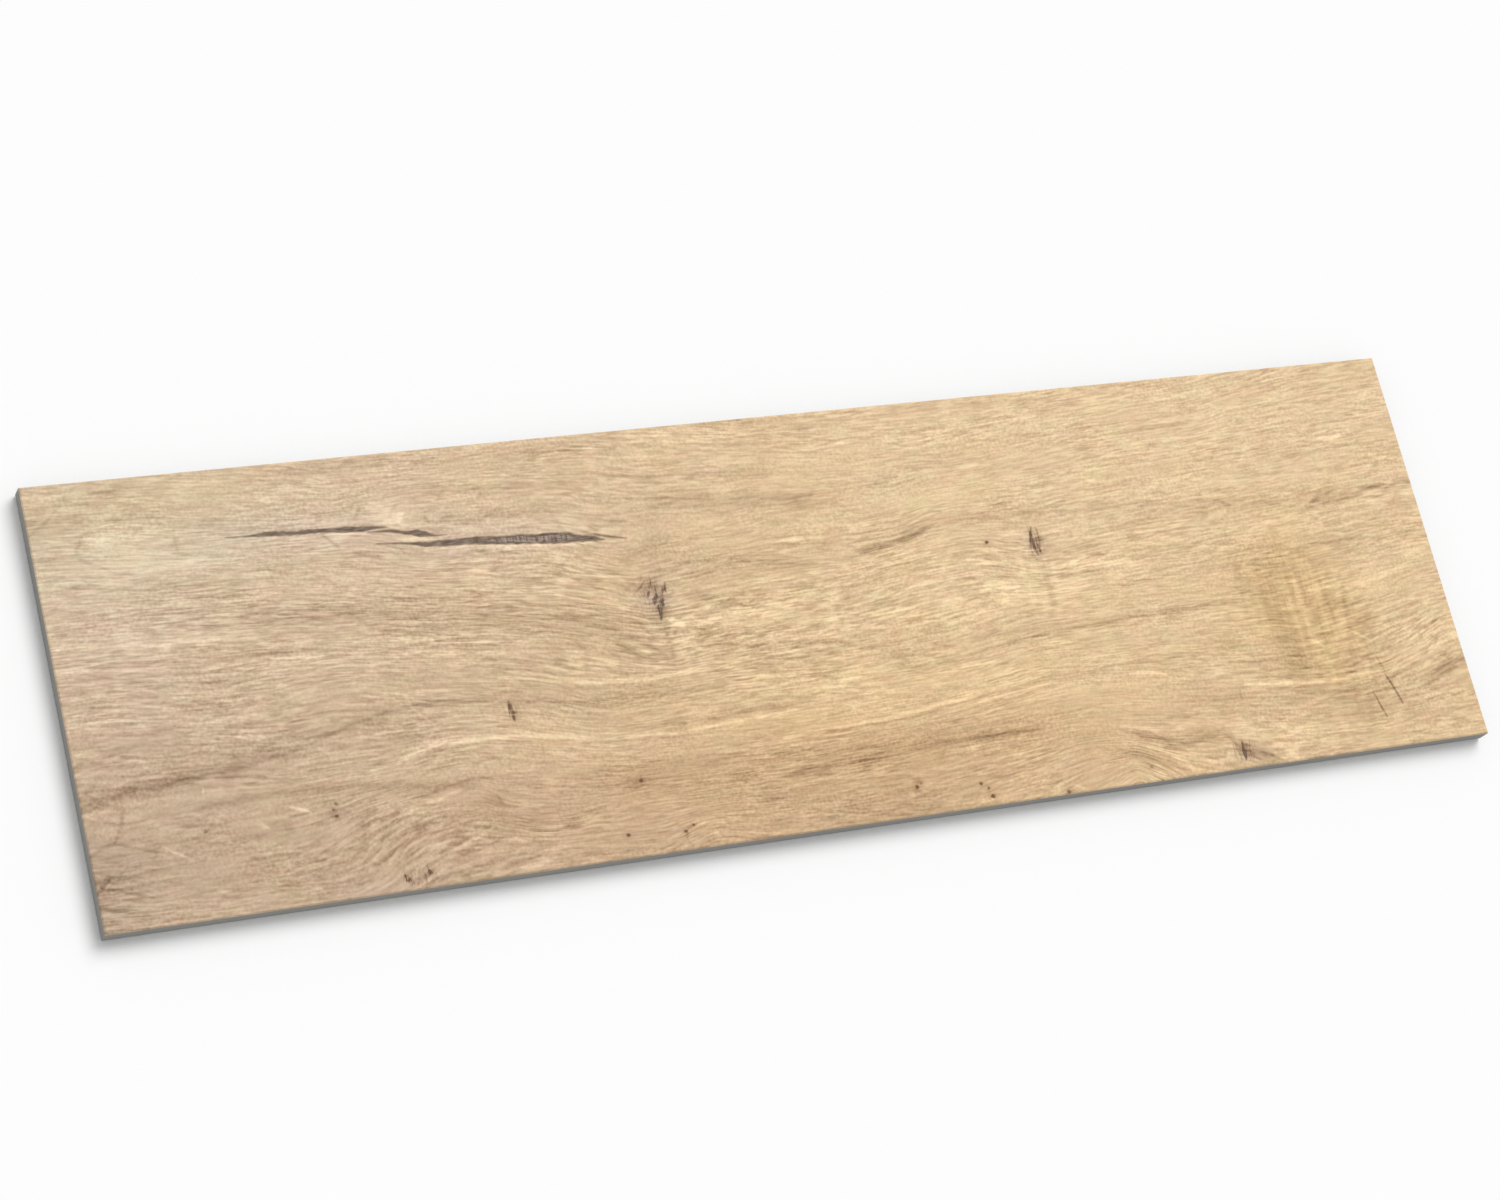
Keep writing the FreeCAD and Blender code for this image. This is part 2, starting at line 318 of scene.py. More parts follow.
    Mark(-0.5, ((-169.8, -11.4, 0.5), (-167.9, -15.6, 0.6))),
    Mark(-0.5, ((-168.2, -16.3, 0.5), (-165, -20, 0.8), (-160.6, -24.6, 0.4))),
    Mark(-0.4, ((-138.8, -9.4, 0.4), (-135.4, -15.4, 0.6))),
    Mark(-0.4, ((-190.6, -23, 0.7), (-190, -25.6, 0.5))),
    Mark(-0.4, ((-219.4, -79.8, 0.8), (-218.2, -83.6, 0.5))),
    Mark(-0.35, ((-266, -17.6, 0.4), (-261.4, -20.2, 0.5))),
    Mark(-0.35, ((-217.8, -20.4, 1.4), (-216.4, -20.6, 1.2))),
)

# A round spot of the print: its place, its radius and its ink
Dot = namedtuple("Dot", "x y radius ink")
DOTS = (
    Dot(90.3, 22.9, 0.71, 1), Dot(-184.5, -81.7, 0.60, 0.9), Dot(-183.8, -83.4, 0.68, 0.9),
    Dot(-174.7, -81.5, 0.75, 0.9), Dot(-83.4, -57.5, 0.60, 0.8), Dot(-93.8, -78.4, 0.75, 0.9),
    Dot(-70.2, -80, 0.75, 0.9), Dot(-66.3, -77.9, 0.52, 0.6), Dot(31, -75.5, 0.75, 0.9),
    Dot(33, -74.4, 0.45, 0.5), Dot(58.9, -78, 0.68, 0.8), Dot(61.8, -80.2, 0.60, 0.7),
    Dot(62.8, -83.8, 0.75, 0.9), Dot(96.6, -86.4, 0.83, 0.6), Dot(136.6, -81, 0.68, 0.45),
    Dot(-256, -54, 0.60, 0.7), Dot(-205, -50.4, 0.60, 0.6), Dot(-206.5, -52.5, 0.45, 0.5),
    Dot(-206, -55.3, 0.60, 0.7),
)

# A vein of the print is a thin streak, dark or pale like a mark: its ink, its width, and each point's x and y.
# It narrows to its tip's width at both ends.
VEIN_TIP = 0.2
VEINS = (
    # The left end, above its middle
    (0.5, 1.5, -275, 81.9, -269, 82.4, -260, 81.8), (0.5, 1, -272, 80.9, -269, 80.1),
    (0.5, 1.5, -243, 85, -237, 86.2), (0.35, 1, -214, 82.1, -208, 82.6), (0.45, 1.8, -301, 73.4, -295, 73),
    (0.5, 1.2, -291, 72.4, -286, 72), (0.35, 1.2, -285, 71.6, -275, 70.9, -262, 70.6, -250, 70.8),
    (0.4, 1, -301, 64.4, -293, 64.3), (0.35, 0.9, -273, 61.5, -264, 61, -250, 60.8),
    (0.45, 2.2, -248, 58.4, -245.4, 59.6, -243.6, 61.4), (0.45, 1.1, -249, 56, -245, 54.7, -240, 53.8),
    (0.28, 0.9, -273, 56.5, -261, 56.1), (0.28, 0.9, -275, 54.8, -262, 54.4),
    (0.45, 0.9, -240, 62.4, -234, 62.8, -224, 62, -212, 62.2), (0.4, 0.9, -288, 46.4, -285, 44.9, -280, 44.6),
    (0.35, 1, -293, 43.4, -286, 43), (0.4, 1, -260, 42.2, -248, 41.6, -240, 41.6, -235, 41.2),
    (0.35, 1, -226, 41.2, -218, 40.8, -209, 40.9), (0.4, 0.9, -223, 44.6, -213, 45, -209, 43.8),
    (-0.6, 1.5, -223, 44, -217, 43.5, -210, 43.1), (-0.4, 1.2, -216, 34.6, -208, 33.5),
    (-0.35, 1.2, -247, 35.5, -239, 34.6), (0.33, 0.9, -247, 36.4, -240, 36.3, -232, 35.9, -221, 35.8),
    (0.4, 1.4, -281, 32, -275, 31.9), (0.42, 1.1, -247, 28.8, -240, 28.8),
    (0.55, 1.5, -229, 27.3, -223, 27.8, -219, 27.2), (0.45, 1, -284, 23.1, -278, 23.4, -273, 23.8),
    (0.35, 1.1, -252, 32.8, -244, 32.6), (-0.35, 1, -282.4, 31.8, -284, 28.6, -285.5, 26),
    (-0.6, 2, -298.6, 22.6, -296, 21.6), (-0.5, 1.4, -301, 13.6, -290, 13.2, -283, 12.4),
    (-0.4, 1.2, -280, 11.4, -270, 10.6, -260, 10.6), (-0.35, 1.4, -261, 19, -252, 18.8),
    (-0.35, 1.4, -233, 17, -225, 16.8, -219, 16.2), (-0.6, 1.4, -219, 9.3, -212, 8.7, -205, 8.4, -196, 7.6),
    (0.35, 1.2, -301, 16.8, -293, 17.3), (0.4, 1.8, -294, 10.4, -289, 9.6),
    (0.35, 1, -278, 9.6, -270, 9.7, -262, 8.9, -254, 8.6), (0.5, 1, -277, 5.6, -270, 5.6, -261, 4.9),
    (0.45, 1.1, -247, 2.7, -240, 2.4, -233, 2), (0.3, 1, -257, 16.2, -247, 16.9, -238, 16.4, -231, 15.4),
    (0.4, 1, -225, 12, -217, 11.2, -208, 11.2, -198, 10.8),
    # The left end, below its middle
    (0.4, 1.2, -301, -1, -292, -0.9, -286, -2, -281, -1.5), (0.3, 0.9, -271, -2.2, -265, -3, -255, -3.2),
    (0.45, 1, -260, -4.6, -250, -5.2, -245, -5.8, -238, -6.2),
    (0.42, 1, -277, -7.6, -272, -6.8, -267, -7.6, -258, -7.8),
    (0.4, 0.9, -258, -7.2, -250, -7.3, -240, -8.4, -236, -8.3), (0.4, 1, -301, -9, -296, -9.2),
    (0.4, 1, -287, -8.4, -282, -9.1), (-0.5, 1.3, -260, -1.9, -250, -2.3, -242, -2.9),
    (-0.35, 1.2, -259, -12.4, -250, -13.2, -242, -13.3), (-0.4, 1.8, -235, -12.4, -231, -13),
    (-0.45, 1.8, -230, -11.4, -227, -11.8), (0.35, 1, -293, -11.6, -283, -13.5, -275, -13.6),
    (0.35, 1, -268, -13.2, -261, -13.8), (0.35, 1.8, -241, -15.6, -235, -15.8, -227, -15),
    (-0.35, 1.2, -298, -24.9, -289, -24.4), (-0.45, 1.2, -280, -23.4, -275, -23.9, -271.5, -25),
    (-0.5, 2, -238, -19.4, -231, -20), (-0.45, 1.8, -223, -16.6, -216, -16.8),
    (-0.45, 2, -215, -15.2, -212, -15.6), (0.33, 0.9, -301, -33.5, -290, -33.6),
    (0.35, 0.9, -286, -33.8, -280, -34.3, -275, -34.9), (0.3, 0.9, -266, -28.3, -255, -29.7),
    (0.4, 1, -249, -33.9, -245, -34.6, -237, -35.4), (0.25, 1, -237, -35.2, -228, -35.6, -211, -37.4),
    (0.4, 1.4, -277, -35.3, -272, -34.6, -262, -33.6, -254, -32.9, -245, -32.4, -235, -31.4, -226, -29.4,
     -214, -27.4, -205, -24.8, -195, -21, -185, -18.9, -175, -16.7, -165, -16),
    (0.5, 1.3, -168, -16, -155, -16.3, -145, -17.3, -135, -18.5, -125, -19.8, -110, -21.7, -100, -23),
    (0.4, 1.3, -103, -22.9, -94, -23.6, -86, -24.8, -76, -24.4, -70, -24.7, -60, -24.2, -45, -23.9,
     -36, -23.5),
    (-0.45, 1.5, -271, -51, -265, -52), (-0.45, 1.2, -241, -50.6, -235, -50),
    (-0.6, 1.6, -223, -49.1, -219, -50.6, -214.6, -52.5), (-0.5, 1.6, -237, -53.6, -231.6, -56.8),
    (-0.5, 1.6, -252, -57, -247, -60), (0.4, 1, -266, -61.9, -260, -60.8),
    (0.28, 1.6, -253, -58.6, -243, -58.5, -233, -58), (0.25, 1, -277, -56.5, -266, -56.8, -257, -55.5),
    (-0.45, 1.4, -257, -76.9, -252, -77.6), (-0.45, 1.4, -222, -80.2, -218, -81.4, -216, -84.2),
    # The left half, round and above the drying cracks
    (0.45, 1.2, -201, 84, -190, 84.1), (0.45, 1.2, -187, 84.4, -181, 84), (0.35, 1.2, -174, 84.8, -168, 84.2),
    (0.3, 1.2, -163, 82.4, -153, 82.6), (0.3, 1.2, -190.5, 60.5, -188.5, 63, -185.5, 66),
    (0.38, 1.2, -174.8, 60.5, -172.2, 63.5, -170, 67.5), (0.33, 1, -160.4, 60, -158.8, 63.2, -155, 66.4),
    (-0.35, 1.4, -187.4, 61, -183, 65), (-0.4, 2.4, -156.6, 57.6, -156, 60.6, -153.6, 62),
    (0.42, 1.3, -144.4, 56.6, -146, 58.8, -145.4, 60.8, -142, 62), (0.4, 1.4, -138, 58.3, -133, 58.4),
    (0.45, 1.8, -133, 71.7, -131, 71.8), (0.42, 1.2, -126, 68.8, -120, 69),
    (0.35, 1.2, -113, 67.7, -107, 67.5), (-0.4, 1.2, -132, 63, -127, 63.3), (-0.35, 1, -127, 65.8, -122, 66),
    (-0.45, 1.6, -161, 51.7, -152, 50.4, -144, 50.1), (-0.5, 2, -150, 45.8, -147, 45.2),
    (-0.5, 1.6, -118, 42.8, -105, 41.9, -94, 41.2), (0.42, 1.1, -190, 57, -187, 55.4, -184, 52.8, -182, 50.2),
    (0.35, 1, -178, 47.8, -172, 46, -165, 44.4), (0.38, 1, -184, 43.2, -178, 41.4, -171, 39.9),
    (0.38, 1, -158.6, 47.6, -157, 45, -151, 42.8, -145, 41.2), (0.35, 1, -173, 34.8, -165, 32.8),
    (0.38, 1, -188, 34.4, -182, 34.6), (0.33, 1, -159, 34.7, -149, 33.4), (0.38, 1, -161, 31.6, -155, 31.1),
    (0.4, 1, -142, 31.4, -137, 31.1), (0.38, 1.1, -166, 27.8, -160, 26.8, -155, 26),
    (0.55, 1.3, -191, 23.7, -185, 23.4, -177, 23.4), (0.5, 1.4, -161, 19, -156, 18.3, -151, 18.1),
    (0.38, 1.1, -157, 20.9, -147, 20.2), (0.38, 1.2, -148, 25.3, -141, 24.6, -131, 21.4),
    (0.38, 1.1, -139, 27.7, -133, 27.4), (0.5, 1, -120, 26.2, -113, 26.6, -108, 26.2),
    (0.55, 1.4, -130, 19.5, -124, 19.2, -118, 18.7), (0.45, 1.1, -118, 19.8, -110, 19.1),
    (0.33, 1.1, -127, 17, -117, 16.5), (0.38, 1, -108, 32.1, -102, 31.5),
    (0.45, 1.2, -132, 43, -127, 42.9, -123, 41.8), (-0.4, 1.4, -135, 35.8, -129, 34.8, -124, 33.8),
    (-0.35, 1.2, -132, 28.6, -125, 26.8), (-0.5, 1.7, -120, 24.6, -111, 24.4),
    (-0.5, 1.4, -109, 24.2, -102, 22.4, -96, 21), (-0.5, 1.3, -181, 12.5, -175, 12.8, -169, 12.1),
    (-0.6, 1.3, -171, 10.9, -163, 10.8, -158, 10.2, -152, 8.4), (0.35, 1, -136, 13.6, -128, 13, -119, 12.8),
    (0.5, 1.1, -114, 7.3, -106, 6.8, -100, 4.8, -94, 3.5, -89, 3.1),
    (0.35, 1, -137, 4.4, -128, 4.6, -121, 4.1), (-0.5, 1.2, -138, 5.8, -130, 5.4),
    (-0.4, 1, -129, 3.6, -122, 3.8), (-0.45, 1.3, -166, -10.3, -158, -10.9, -154, -11.4, -150.5, -12.8),
    (-0.35, 1.1, -131, -9.8, -122, -10.6, -115, -12.3, -106, -13.8),
    (0.35, 1, -170, -9.4, -158, -9.8, -150, -10.9, -142, -11.2),
    (0.28, 1, -172, -28.8, -160, -29.2, -150, -29.2, -136, -28.8, -124, -29),
    (-0.55, 1.5, -190, -39.6, -180, -38.3, -170, -34.8, -162, -32.9, -150, -32.6, -138, -33, -128, -33.2,
     -116, -35, -104, -37.2, -95, -39),
    (-0.4, 1.1, -151, -35.2, -138, -35.5, -130, -37, -125, -37.6),
    (0.33, 1, -166, -35.9, -158, -34.4, -146, -34.1, -135, -35, -120, -36.6, -107, -37.9),
    (0.3, 1, -172, -45, -165, -42.4, -158, -41.1, -148, -40.6, -136, -40.6),
    (-0.45, 1.3, -119, -41.2, -112, -42.8, -105, -43.9),
    (0.42, 1.6, -175, -52.3, -168, -51.6, -162, -49.9, -152, -48.2, -140, -47.8),
    (-0.55, 1.5, -171, -54.6, -165, -54.2, -161, -52.4, -155, -51.7),
    (-0.45, 1.2, -200, -77.4, -195, -73.6, -190, -69.2, -186, -66, -181, -63.6),
    (0.38, 1.1, -198, -73, -192, -67.6, -187, -64.4, -182, -61.8),
    (0.38, 1.1, -196, -78, -191, -73.4, -187, -69.4, -184, -67, -180, -64.8),
    (-0.3, 1, -193, -79, -188, -73.6, -182, -68.4, -176, -65.6),
    (0.38, 1.1, -186, -74.6, -182, -70.5, -177, -67.3),
    (0.38, 1.2, -170, -75.2, -163, -72.6, -155, -69.8, -147, -66.9),
    (-0.4, 1.2, -161, -72.8, -155, -71.5, -149, -69.2),
    (0.38, 1.2, -164, -77.2, -157, -76.4, -150, -74.6, -144, -72.4, -136, -71.4),
    (0.45, 0.9, -158, -64.4, -151, -64), (-0.35, 1, -170, -65.7, -163, -65, -154, -62.8),
    (0.33, 1.2, -146, -83, -137, -82.8, -130, -80.8), (-0.5, 1.8, -140, -84.8, -133, -85, -126, -83.6),
    (-0.35, 1.3, -127, -79.8, -118, -79.2, -110, -79), (-0.3, 1.2, -137, -62, -124, -61.6),
    (0.3, 1.1, -136, -68, -129, -67.5), (0.38, 1.1, -109, -66.9, -99, -65.8),
    # Left and right of the middle knot
    (0.4, 1, -86, 81, -79, 81.4), (0.42, 1, -69, 82.3, -64, 81), (-0.55, 1.3, -75, 81.2, -69, 81.2),
    (0.25, 1, -70, 79.5, -60, 78.4), (0.38, 1.1, -51, 73.6, -45, 73.6), (0.35, 1, -39, 71.5, -34, 71.4),
    (0.42, 1.5, -7, 85, 2, 85.5), (0.28, 1.2, -91, 70, -87, 68.6, -80, 68.2, -71, 67.4),
    (0.38, 1, -53, 64.5, -45, 63.3), (0.45, 1, -69, 58.5, -64, 58.8, -59, 58.1),
    (0.45, 1.3, -71, 57.5, -66, 56.5, -61, 56.4),
    (0.45, 1.2, -52, 57.5, -45, 56.6, -38, 55.4, -30, 55, -25, 54.2), (0.33, 1, -49, 54.5, -41, 53.5),
    (0.38, 1.2, -31, 50.2, -24, 48.4, -18, 47.5), (0.38, 1.2, -21, 53, -12, 53.6, -6, 53.2, -3, 51.8),
    (-0.45, 1.2, -40, 65.2, -34, 65), (-0.35, 1.2, -31, 64, -20, 63.2), (-0.55, 1.3, -79, 62.1, -73, 61.1),
    (0.42, 1, -74, 32, -67, 31.6), (0.42, 1, -49, 29, -42, 28.8, -34, 28.6, -29.5, 27.2),
    (0.5, 1.1, -27, 26.1, -20, 26.8, -15, 26.1), (0.45, 1.3, -14, 27.2, -10, 26, -5, 25.6, 2, 25.4),
    (0.42, 1.4, -37, 23.6, -32, 23.4), (0.38, 1, -27, 17, -16, 17), (0.33, 1, -47, 17, -37, 17),
    (-0.55, 1.4, -66, 32.5, -58, 32), (-0.4, 1.3, -86, 35.5, -79, 34.5), (-0.55, 1.3, -101, 21.6, -95, 20.4),
    (-0.45, 1.3, -99, 27.5, -91, 26.2), (-0.45, 1.2, -80, 22.1, -74, 21.5),
    (-0.45, 1.3, -80, 27.6, -76, 25, -70, 24.4), (0.38, 1, -91, 26.5, -86, 24.8, -83, 23.4),
    (0.45, 1.2, -84, 22.2, -79, 21.5), (0.45, 1.2, -77, 23.9, -72, 22, -69, 19.4),
    (0.4, 1, -76, 20.2, -72, 17.4), (0.42, 1, -97, 16.5, -92, 16.4, -85, 15.9),
    (0.5, 1.2, -91, 12.1, -85, 11.4, -80, 10.4), (0.45, 1.1, -73, 7.3, -66, 6.4),
    (0.4, 1, -65, 7.8, -60, 5.8), (0.38, 1.1, -83, 5.8, -76, 3), (-0.4, 1.1, -71, 8.8, -61, 7.8),
    (-0.7, 2.6, -56, 5.8, -53, 4.3, -50, 3.2), (-0.45, 1.2, -49, 9.1, -43, 8.3),
    (-0.5, 1.2, -46, 4.9, -40, 3.4), (-0.5, 1.2, -39, 4.5, -32, 3.5),
    (-0.4, 1.1, -30, 6.4, -24, 5.2, -18, 5.4), (0.4, 1, -46, 6.6, -40, 5.6, -34, 5.8),
    (0.38, 1, -48, 1.2, -42, 0.2, -36, 0.6), (-0.5, 1.3, -102, -1.4, -93, -3.5),
    (-0.5, 1.3, -93, -3.5, -87, -5.5, -81, -7.2), (-0.42, 1.3, -101, -7.5, -95, -9.2, -89, -10.6),
    (-0.4, 1.2, -80, -7.4, -75, -10, -71, -12.4),
    (-0.55, 1.5, -102, -14.5, -92, -16.2, -80, -16.4, -69, -17.3, -60, -16.7, -45, -15.9, -32, -17),
    (0.33, 1, -102, -16.8, -91, -18.6, -72, -18.8, -58, -18.2, -48, -17.6),
    (0.45, 1.3, -81, -0.4, -76, -4, -72, -7.4, -68, -9.6, -64, -11),
    (0.4, 1.1, -69, -2.6, -64, -5.6, -60, -9), (0.55, 1.3, -67, -0.8, -62, -2.8),
    (-0.45, 1.2, -73, -3.8, -66, -7),
    (0.6, 1.5, -48, -5.7, -43, -6.4, -38, -6.6, -31, -7.5, -24, -9.2, -16, -8.6),
    (0.45, 1.1, -45, -10.6, -40, -10.9, -35, -11.3), (0.42, 1, -43, -2.8, -38, -3.9, -33, -4.8),
    (0.45, 1.1, -31, -4.7, -26, -3.4, -22, -2.2, -15, -2.6, -10, -2.4, -5, -3.8),
    (0.42, 1.1, -23, -12.9, -17, -14, -11, -14.5), (0.38, 1, -41, -18.4, -30, -19.6, -22, -20.4, -9, -21.6),
    (-0.6, 1.3, -32, -21.3, -23, -21.8, -16, -22.4, -8, -22.9), (-0.45, 1.1, -50, -2.4, -43, -3.5),
    (0.38, 1.2, -15, -24, -8, -24, 3, -25, 6, -26.6, 11, -27.6),
    (0.42, 1.3, -88, -36.3, -80, -36.2, -75, -36.9, -68, -36.5, -57, -37.3),
    (0.35, 1.5, -52, -37.3, -45, -36.8, -36, -35.9, -28, -35.2, -18, -34.8),
    (-0.5, 1.4, -88, -38.8, -80, -39.6, -72, -40, -66, -40.6, -55, -40, -38, -39, -20, -38, -10, -37),
    (0.28, 0.9, -87, -40.5, -76, -41.3, -64, -41.9, -47, -40.8), (-0.55, 1.3, -102, -40.4, -90, -42),
    (-0.35, 1.2, -71, -45.8, -62, -47.3),
    (-0.45, 1.3, -21, -48.7, -15, -48.2, -9, -46.9, 5, -46.2, 22, -46.1, 34, -45.4),
    (0.35, 1, -50, -53, -41, -53.4), (0.35, 2, -21, -63.1, -15, -62.4, -8, -61.7),
    (0.5, 0.9, -38, -72.5, -31, -72.3, -25, -72.7), (0.38, 0.9, -82, -72.6, -76, -72.4),
    (-0.4, 1.4, -28, -69.5, -20, -67.7, -12, -67, 0, -67),
    (-0.35, 1.6, -66, -78.9, -60, -77.7, -55, -78, -52, -80.2), (-0.5, 2, -59, -81.6, -56, -84.4),
    # The right half, above its middle
    (0.42, 1.3, 16, 80.6, 22, 80.4, 28, 80.6), (0.38, 1, 17, 77.1, 25, 76.5), (0.33, 1, 29, 77, 37, 77),
    (0.38, 1.2, 41, 78.3, 50, 77.8, 55, 78.4), (-0.5, 1.6, 31, 72.4, 39, 72.6),
    (-0.45, 1.3, 55, 71.7, 63, 70.9), (-0.35, 1.3, -1, 60.9, 8, 60, 17, 60),
    (0.42, 1, 94, 68.4, 106, 67, 113, 67.6), (-0.4, 1, 98, 68.2, 108, 68.2), (0.33, 1.5, 83, 62.4, 93, 62),
    (0.5, 1.3, 51, 55.2, 55, 55.4, 59, 55.7), (0.33, 1, 57, 59.5, 67, 59.2), (0.38, 1, 4, 57.8, 9, 55.6),
    (0.5, 1.1, 7, 50.9, 14, 51.4, 19, 51.4), (0.45, 1, 7, 50.3, 15, 49.4, 18, 49.6),
    (0.42, 1.2, 94, 47.6, 101, 47.8), (-0.4, 1.2, 71, 56.8, 81, 56.8), (-0.4, 1.2, 87, 56.5, 97, 57.3),
    (-0.4, 1.4, 73, 38.7, 79, 38.4, 85, 37.9), (-0.5, 1.6, -1, 33.4, 5, 33.5, 12, 33.4, 20, 32.7),
    (0.5, 2.2, 32, 24.2, 41, 25.4, 50, 27.6, 56, 29.2, 62, 31, 70, 33.6),
    (0.5, 1.5, 50, 26.8, 57, 28.4, 64, 30.2), (0.5, 1.3, 1, 22.9, 7, 22.4, 14, 22.4),
    (0.33, 1, 39, 16.5, 45, 17, 56, 18.5), (0.42, 1, 19, 11, 24, 11, 30, 11.3, 39, 12.1),
    (0.38, 1, -2, 13.1, 8, 12.4, 17, 12.6), (0.33, 1, 43, 12.4, 52, 12.8, 67, 15.2),
    (-0.35, 1.2, 47, 21.3, 54, 22, 59, 22.5), (-0.55, 1.8, 13, 9.1, 19, 8.3), (-0.4, 1.2, 49, 8.3, 58, 8),
    (0.45, 1.1, 64, 7.3, 70, 7, 75, 8, 85, 8.4), (0.33, 1, 77, 22.3, 85, 22),
    (0.38, 1, 89, 15.2, 96, 15, 106, 14), (0.45, 1.1, 87, 7.8, 94, 7.3, 101, 7),
    (-0.6, 2.2, 83, 4.3, 88, 3.4, 93, 2.8, 101, 2.5), (-0.5, 1.2, 73, 6.1, 84, 6.6),
    (0.42, 1.1, 7, 2.2, 15, 2, 21, 2), (-0.4, 1, 68, 17.6, 76, 17, 84, 15.4),
    (0.38, 1, 66, 19.4, 76, 18.8, 84, 17.2, 92, 17.6), (-0.4, 1, 84, 19.6, 92, 18.6, 98, 18.8),
    (0.38, 1, 70, 12.6, 78, 11.6, 88, 12.6, 98, 11.8), (-0.4, 1, 76, 13.6, 86, 14, 96, 13.2, 106, 11.8),
    (-0.4, 1, 98, 9.8, 106, 8.4, 111, 8), (0.42, 1.3, 99, 84.4, 105, 85),
    (0.33, 1, 99, 77, 110, 76.6, 116, 77.7), (0.42, 1.5, 129, 78.5, 140, 79.2, 147, 79.8, 153, 80.3),
    (0.42, 1.2, 171, 86.1, 178, 84.2), (0.5, 1.4, 179, 84.7, 185, 85.7), (0.33, 1, 119, 67.6, 131, 67.4),
    (0.45, 1.2, 126, 63.7, 131, 64, 136, 64.3), (0.45, 1, 145, 68.5, 154, 68.8),
    (0.33, 1, 158, 68.6, 169, 69.3), (0.38, 1.4, 165, 65, 180, 65.2, 200, 65.6),
    (0.45, 1, 176, 58, 181, 58, 185, 58.4), (0.38, 1, 184, 57.2, 190, 57.8, 197, 57.6),
    (0.33, 1, 129, 51.6, 139, 51.6), (0.52, 1.2, 142, 50.4, 148, 50.6),
    (0.42, 1.1, 152, 50.7, 158, 51, 166, 50.6), (0.42, 1.1, 169, 51.7, 175, 51, 181, 51.8, 187, 51.8),
    (-0.5, 1.4, 143, 44.8, 149, 44.6), (0.45, 1.2, 132, 35.5, 138, 36),
    (0.33, 1.5, 140, 32, 150, 31.8, 157, 31.3), (0.38, 1.6, 191, 31.4, 197, 30.2),
    (0.38, 1, 114, 18.5, 121, 18.2), (0.45, 1.1, 120, 15.6, 128, 14.5),
    (0.5, 1.2, 112, 5.6, 118, 4.7, 128, 4.1), (0.42, 1.1, 129, 5.7, 134, 5, 143, 4.9),
    (0.58, 1.5, 133, 12.9, 138, 12.4, 141, 12, 146, 12.5), (0.38, 1, 137, 15.7, 147, 14.5),
    (0.4, 1, 160, 8.9, 168, 8.2, 172, 8), (0.38, 1.1, 175, 10.9, 182, 11.4, 189, 12),
    (0.38, 1, 175, 16.4, 184, 16.2), (-0.4, 1.1, 167, 15.9, 176, 16.6), (-0.35, 1.2, 119, 25, 133, 22.3),
    (-0.35, 1.2, 119, 27.2, 130, 26.2, 139, 26.4, 147, 27), (0.42, 1.1, 217, 86.3, 225, 86.8, 230, 87),
    (0.38, 1.2, 233, 82.5, 243, 83.5), (0.6, 1.3, 261, 84.5, 267, 84.8),
    (0.38, 1.2, 279, 83.7, 286, 84.6, 291, 85.5), (0.5, 1.5, 296, 82.6, 302, 82.6),
    (0.38, 1.2, 239, 76.1, 247, 77.1), (0.45, 1.1, 235, 70.9, 242, 70.5), (-0.4, 1.3, 201, 67.5, 210, 67.8),
    (0.55, 1.5, 258, 59.2, 262, 58.8), (-0.8, 1.7, 260, 52.6, 266, 52.2, 270, 52.8, 271.6, 54),
    (-0.4, 1, 261, 54.8, 267, 54.6), (0.38, 0.9, 262, 53.7, 270, 54.1), (-0.45, 1.2, 266, 57.7, 273, 57.4),
    (0.42, 1.1, 291, 54.9, 299, 54.4), (0.55, 1.2, 250, 49.9, 255, 50.2),
    (0.45, 1.1, 239, 46.7, 244, 45.8, 254, 46.6, 259, 47.6, 268, 48, 275, 48.8, 296, 48.8),
    (0.42, 1.2, 273, 45.1, 280, 44.6, 287, 45.7), (0.45, 1.2, 254, 37.4, 260, 38.8),
    (0.38, 1.2, 226, 25, 231, 25, 234, 24.2), (0.6, 1.3, 240, 21.9, 245, 22.4, 250, 22.2),
    (0.65, 1.5, 246, 24.2, 250, 25, 253, 25.8), (0.55, 1.3, 252, 22.9, 257, 23.2, 266, 24.6, 275, 25.4),
    (0.45, 1.3, 255, 27.2, 260, 28.6, 264, 29.1), (0.65, 2, 272, 28.5, 278, 28.2, 284, 28.6, 287, 29.1),
    (0.55, 1.5, 286, 26.8, 290, 28, 293, 28.8, 302, 29), (0.42, 1.2, 277, 23.7, 282, 23.4),
    (0.42, 1.6, 201, 30.6, 206, 28, 209, 26.6), (0.4, 2, 244, 17, 249, 16.6),
    (0.55, 1.3, 240, 5.9, 248, 5.4, 255, 6, 260, 5.8, 269, 7.1), (0.42, 1.1, 251, 2, 261, 2.2),
    (-0.4, 1.4, 239, 13.5, 246, 14, 251, 14.7),
    # The right half, below its middle
    (0.5, 1.3, -8, -10.6, 0, -10.9, 6, -10.6, 12, -10.8, 17, -11.1), (0.38, 1.1, 4, -16.3, 17, -16.2),
    (0.42, 1.1, 21, -16, 28, -16.2, 35, -16), (0.45, 1.1, 49, -11.7, 55, -12.3),
    (0.38, 1.1, 31, -6.5, 38, -7, 42, -6.3), (0.38, 1.1, 24, -8.9, 31, -8.4),
    (-0.35, 1.3, -1, -2.4, 18, -2.2, 42, -2.2, 47, -1.2), (-0.4, 1.2, 21, -5.7, 29, -5.3),
    (-0.42, 1.5, 9, -18.4, 17, -17.5), (-0.33, 1.2, 16, -17.2, 31, -17.4), (-0.45, 1.5, 11, -27.2, 20, -27.4),
    (-0.5, 1.6, 7, -29.7, 13, -29.3), (-0.42, 1.2, 80, -19.7, 88, -20.6),
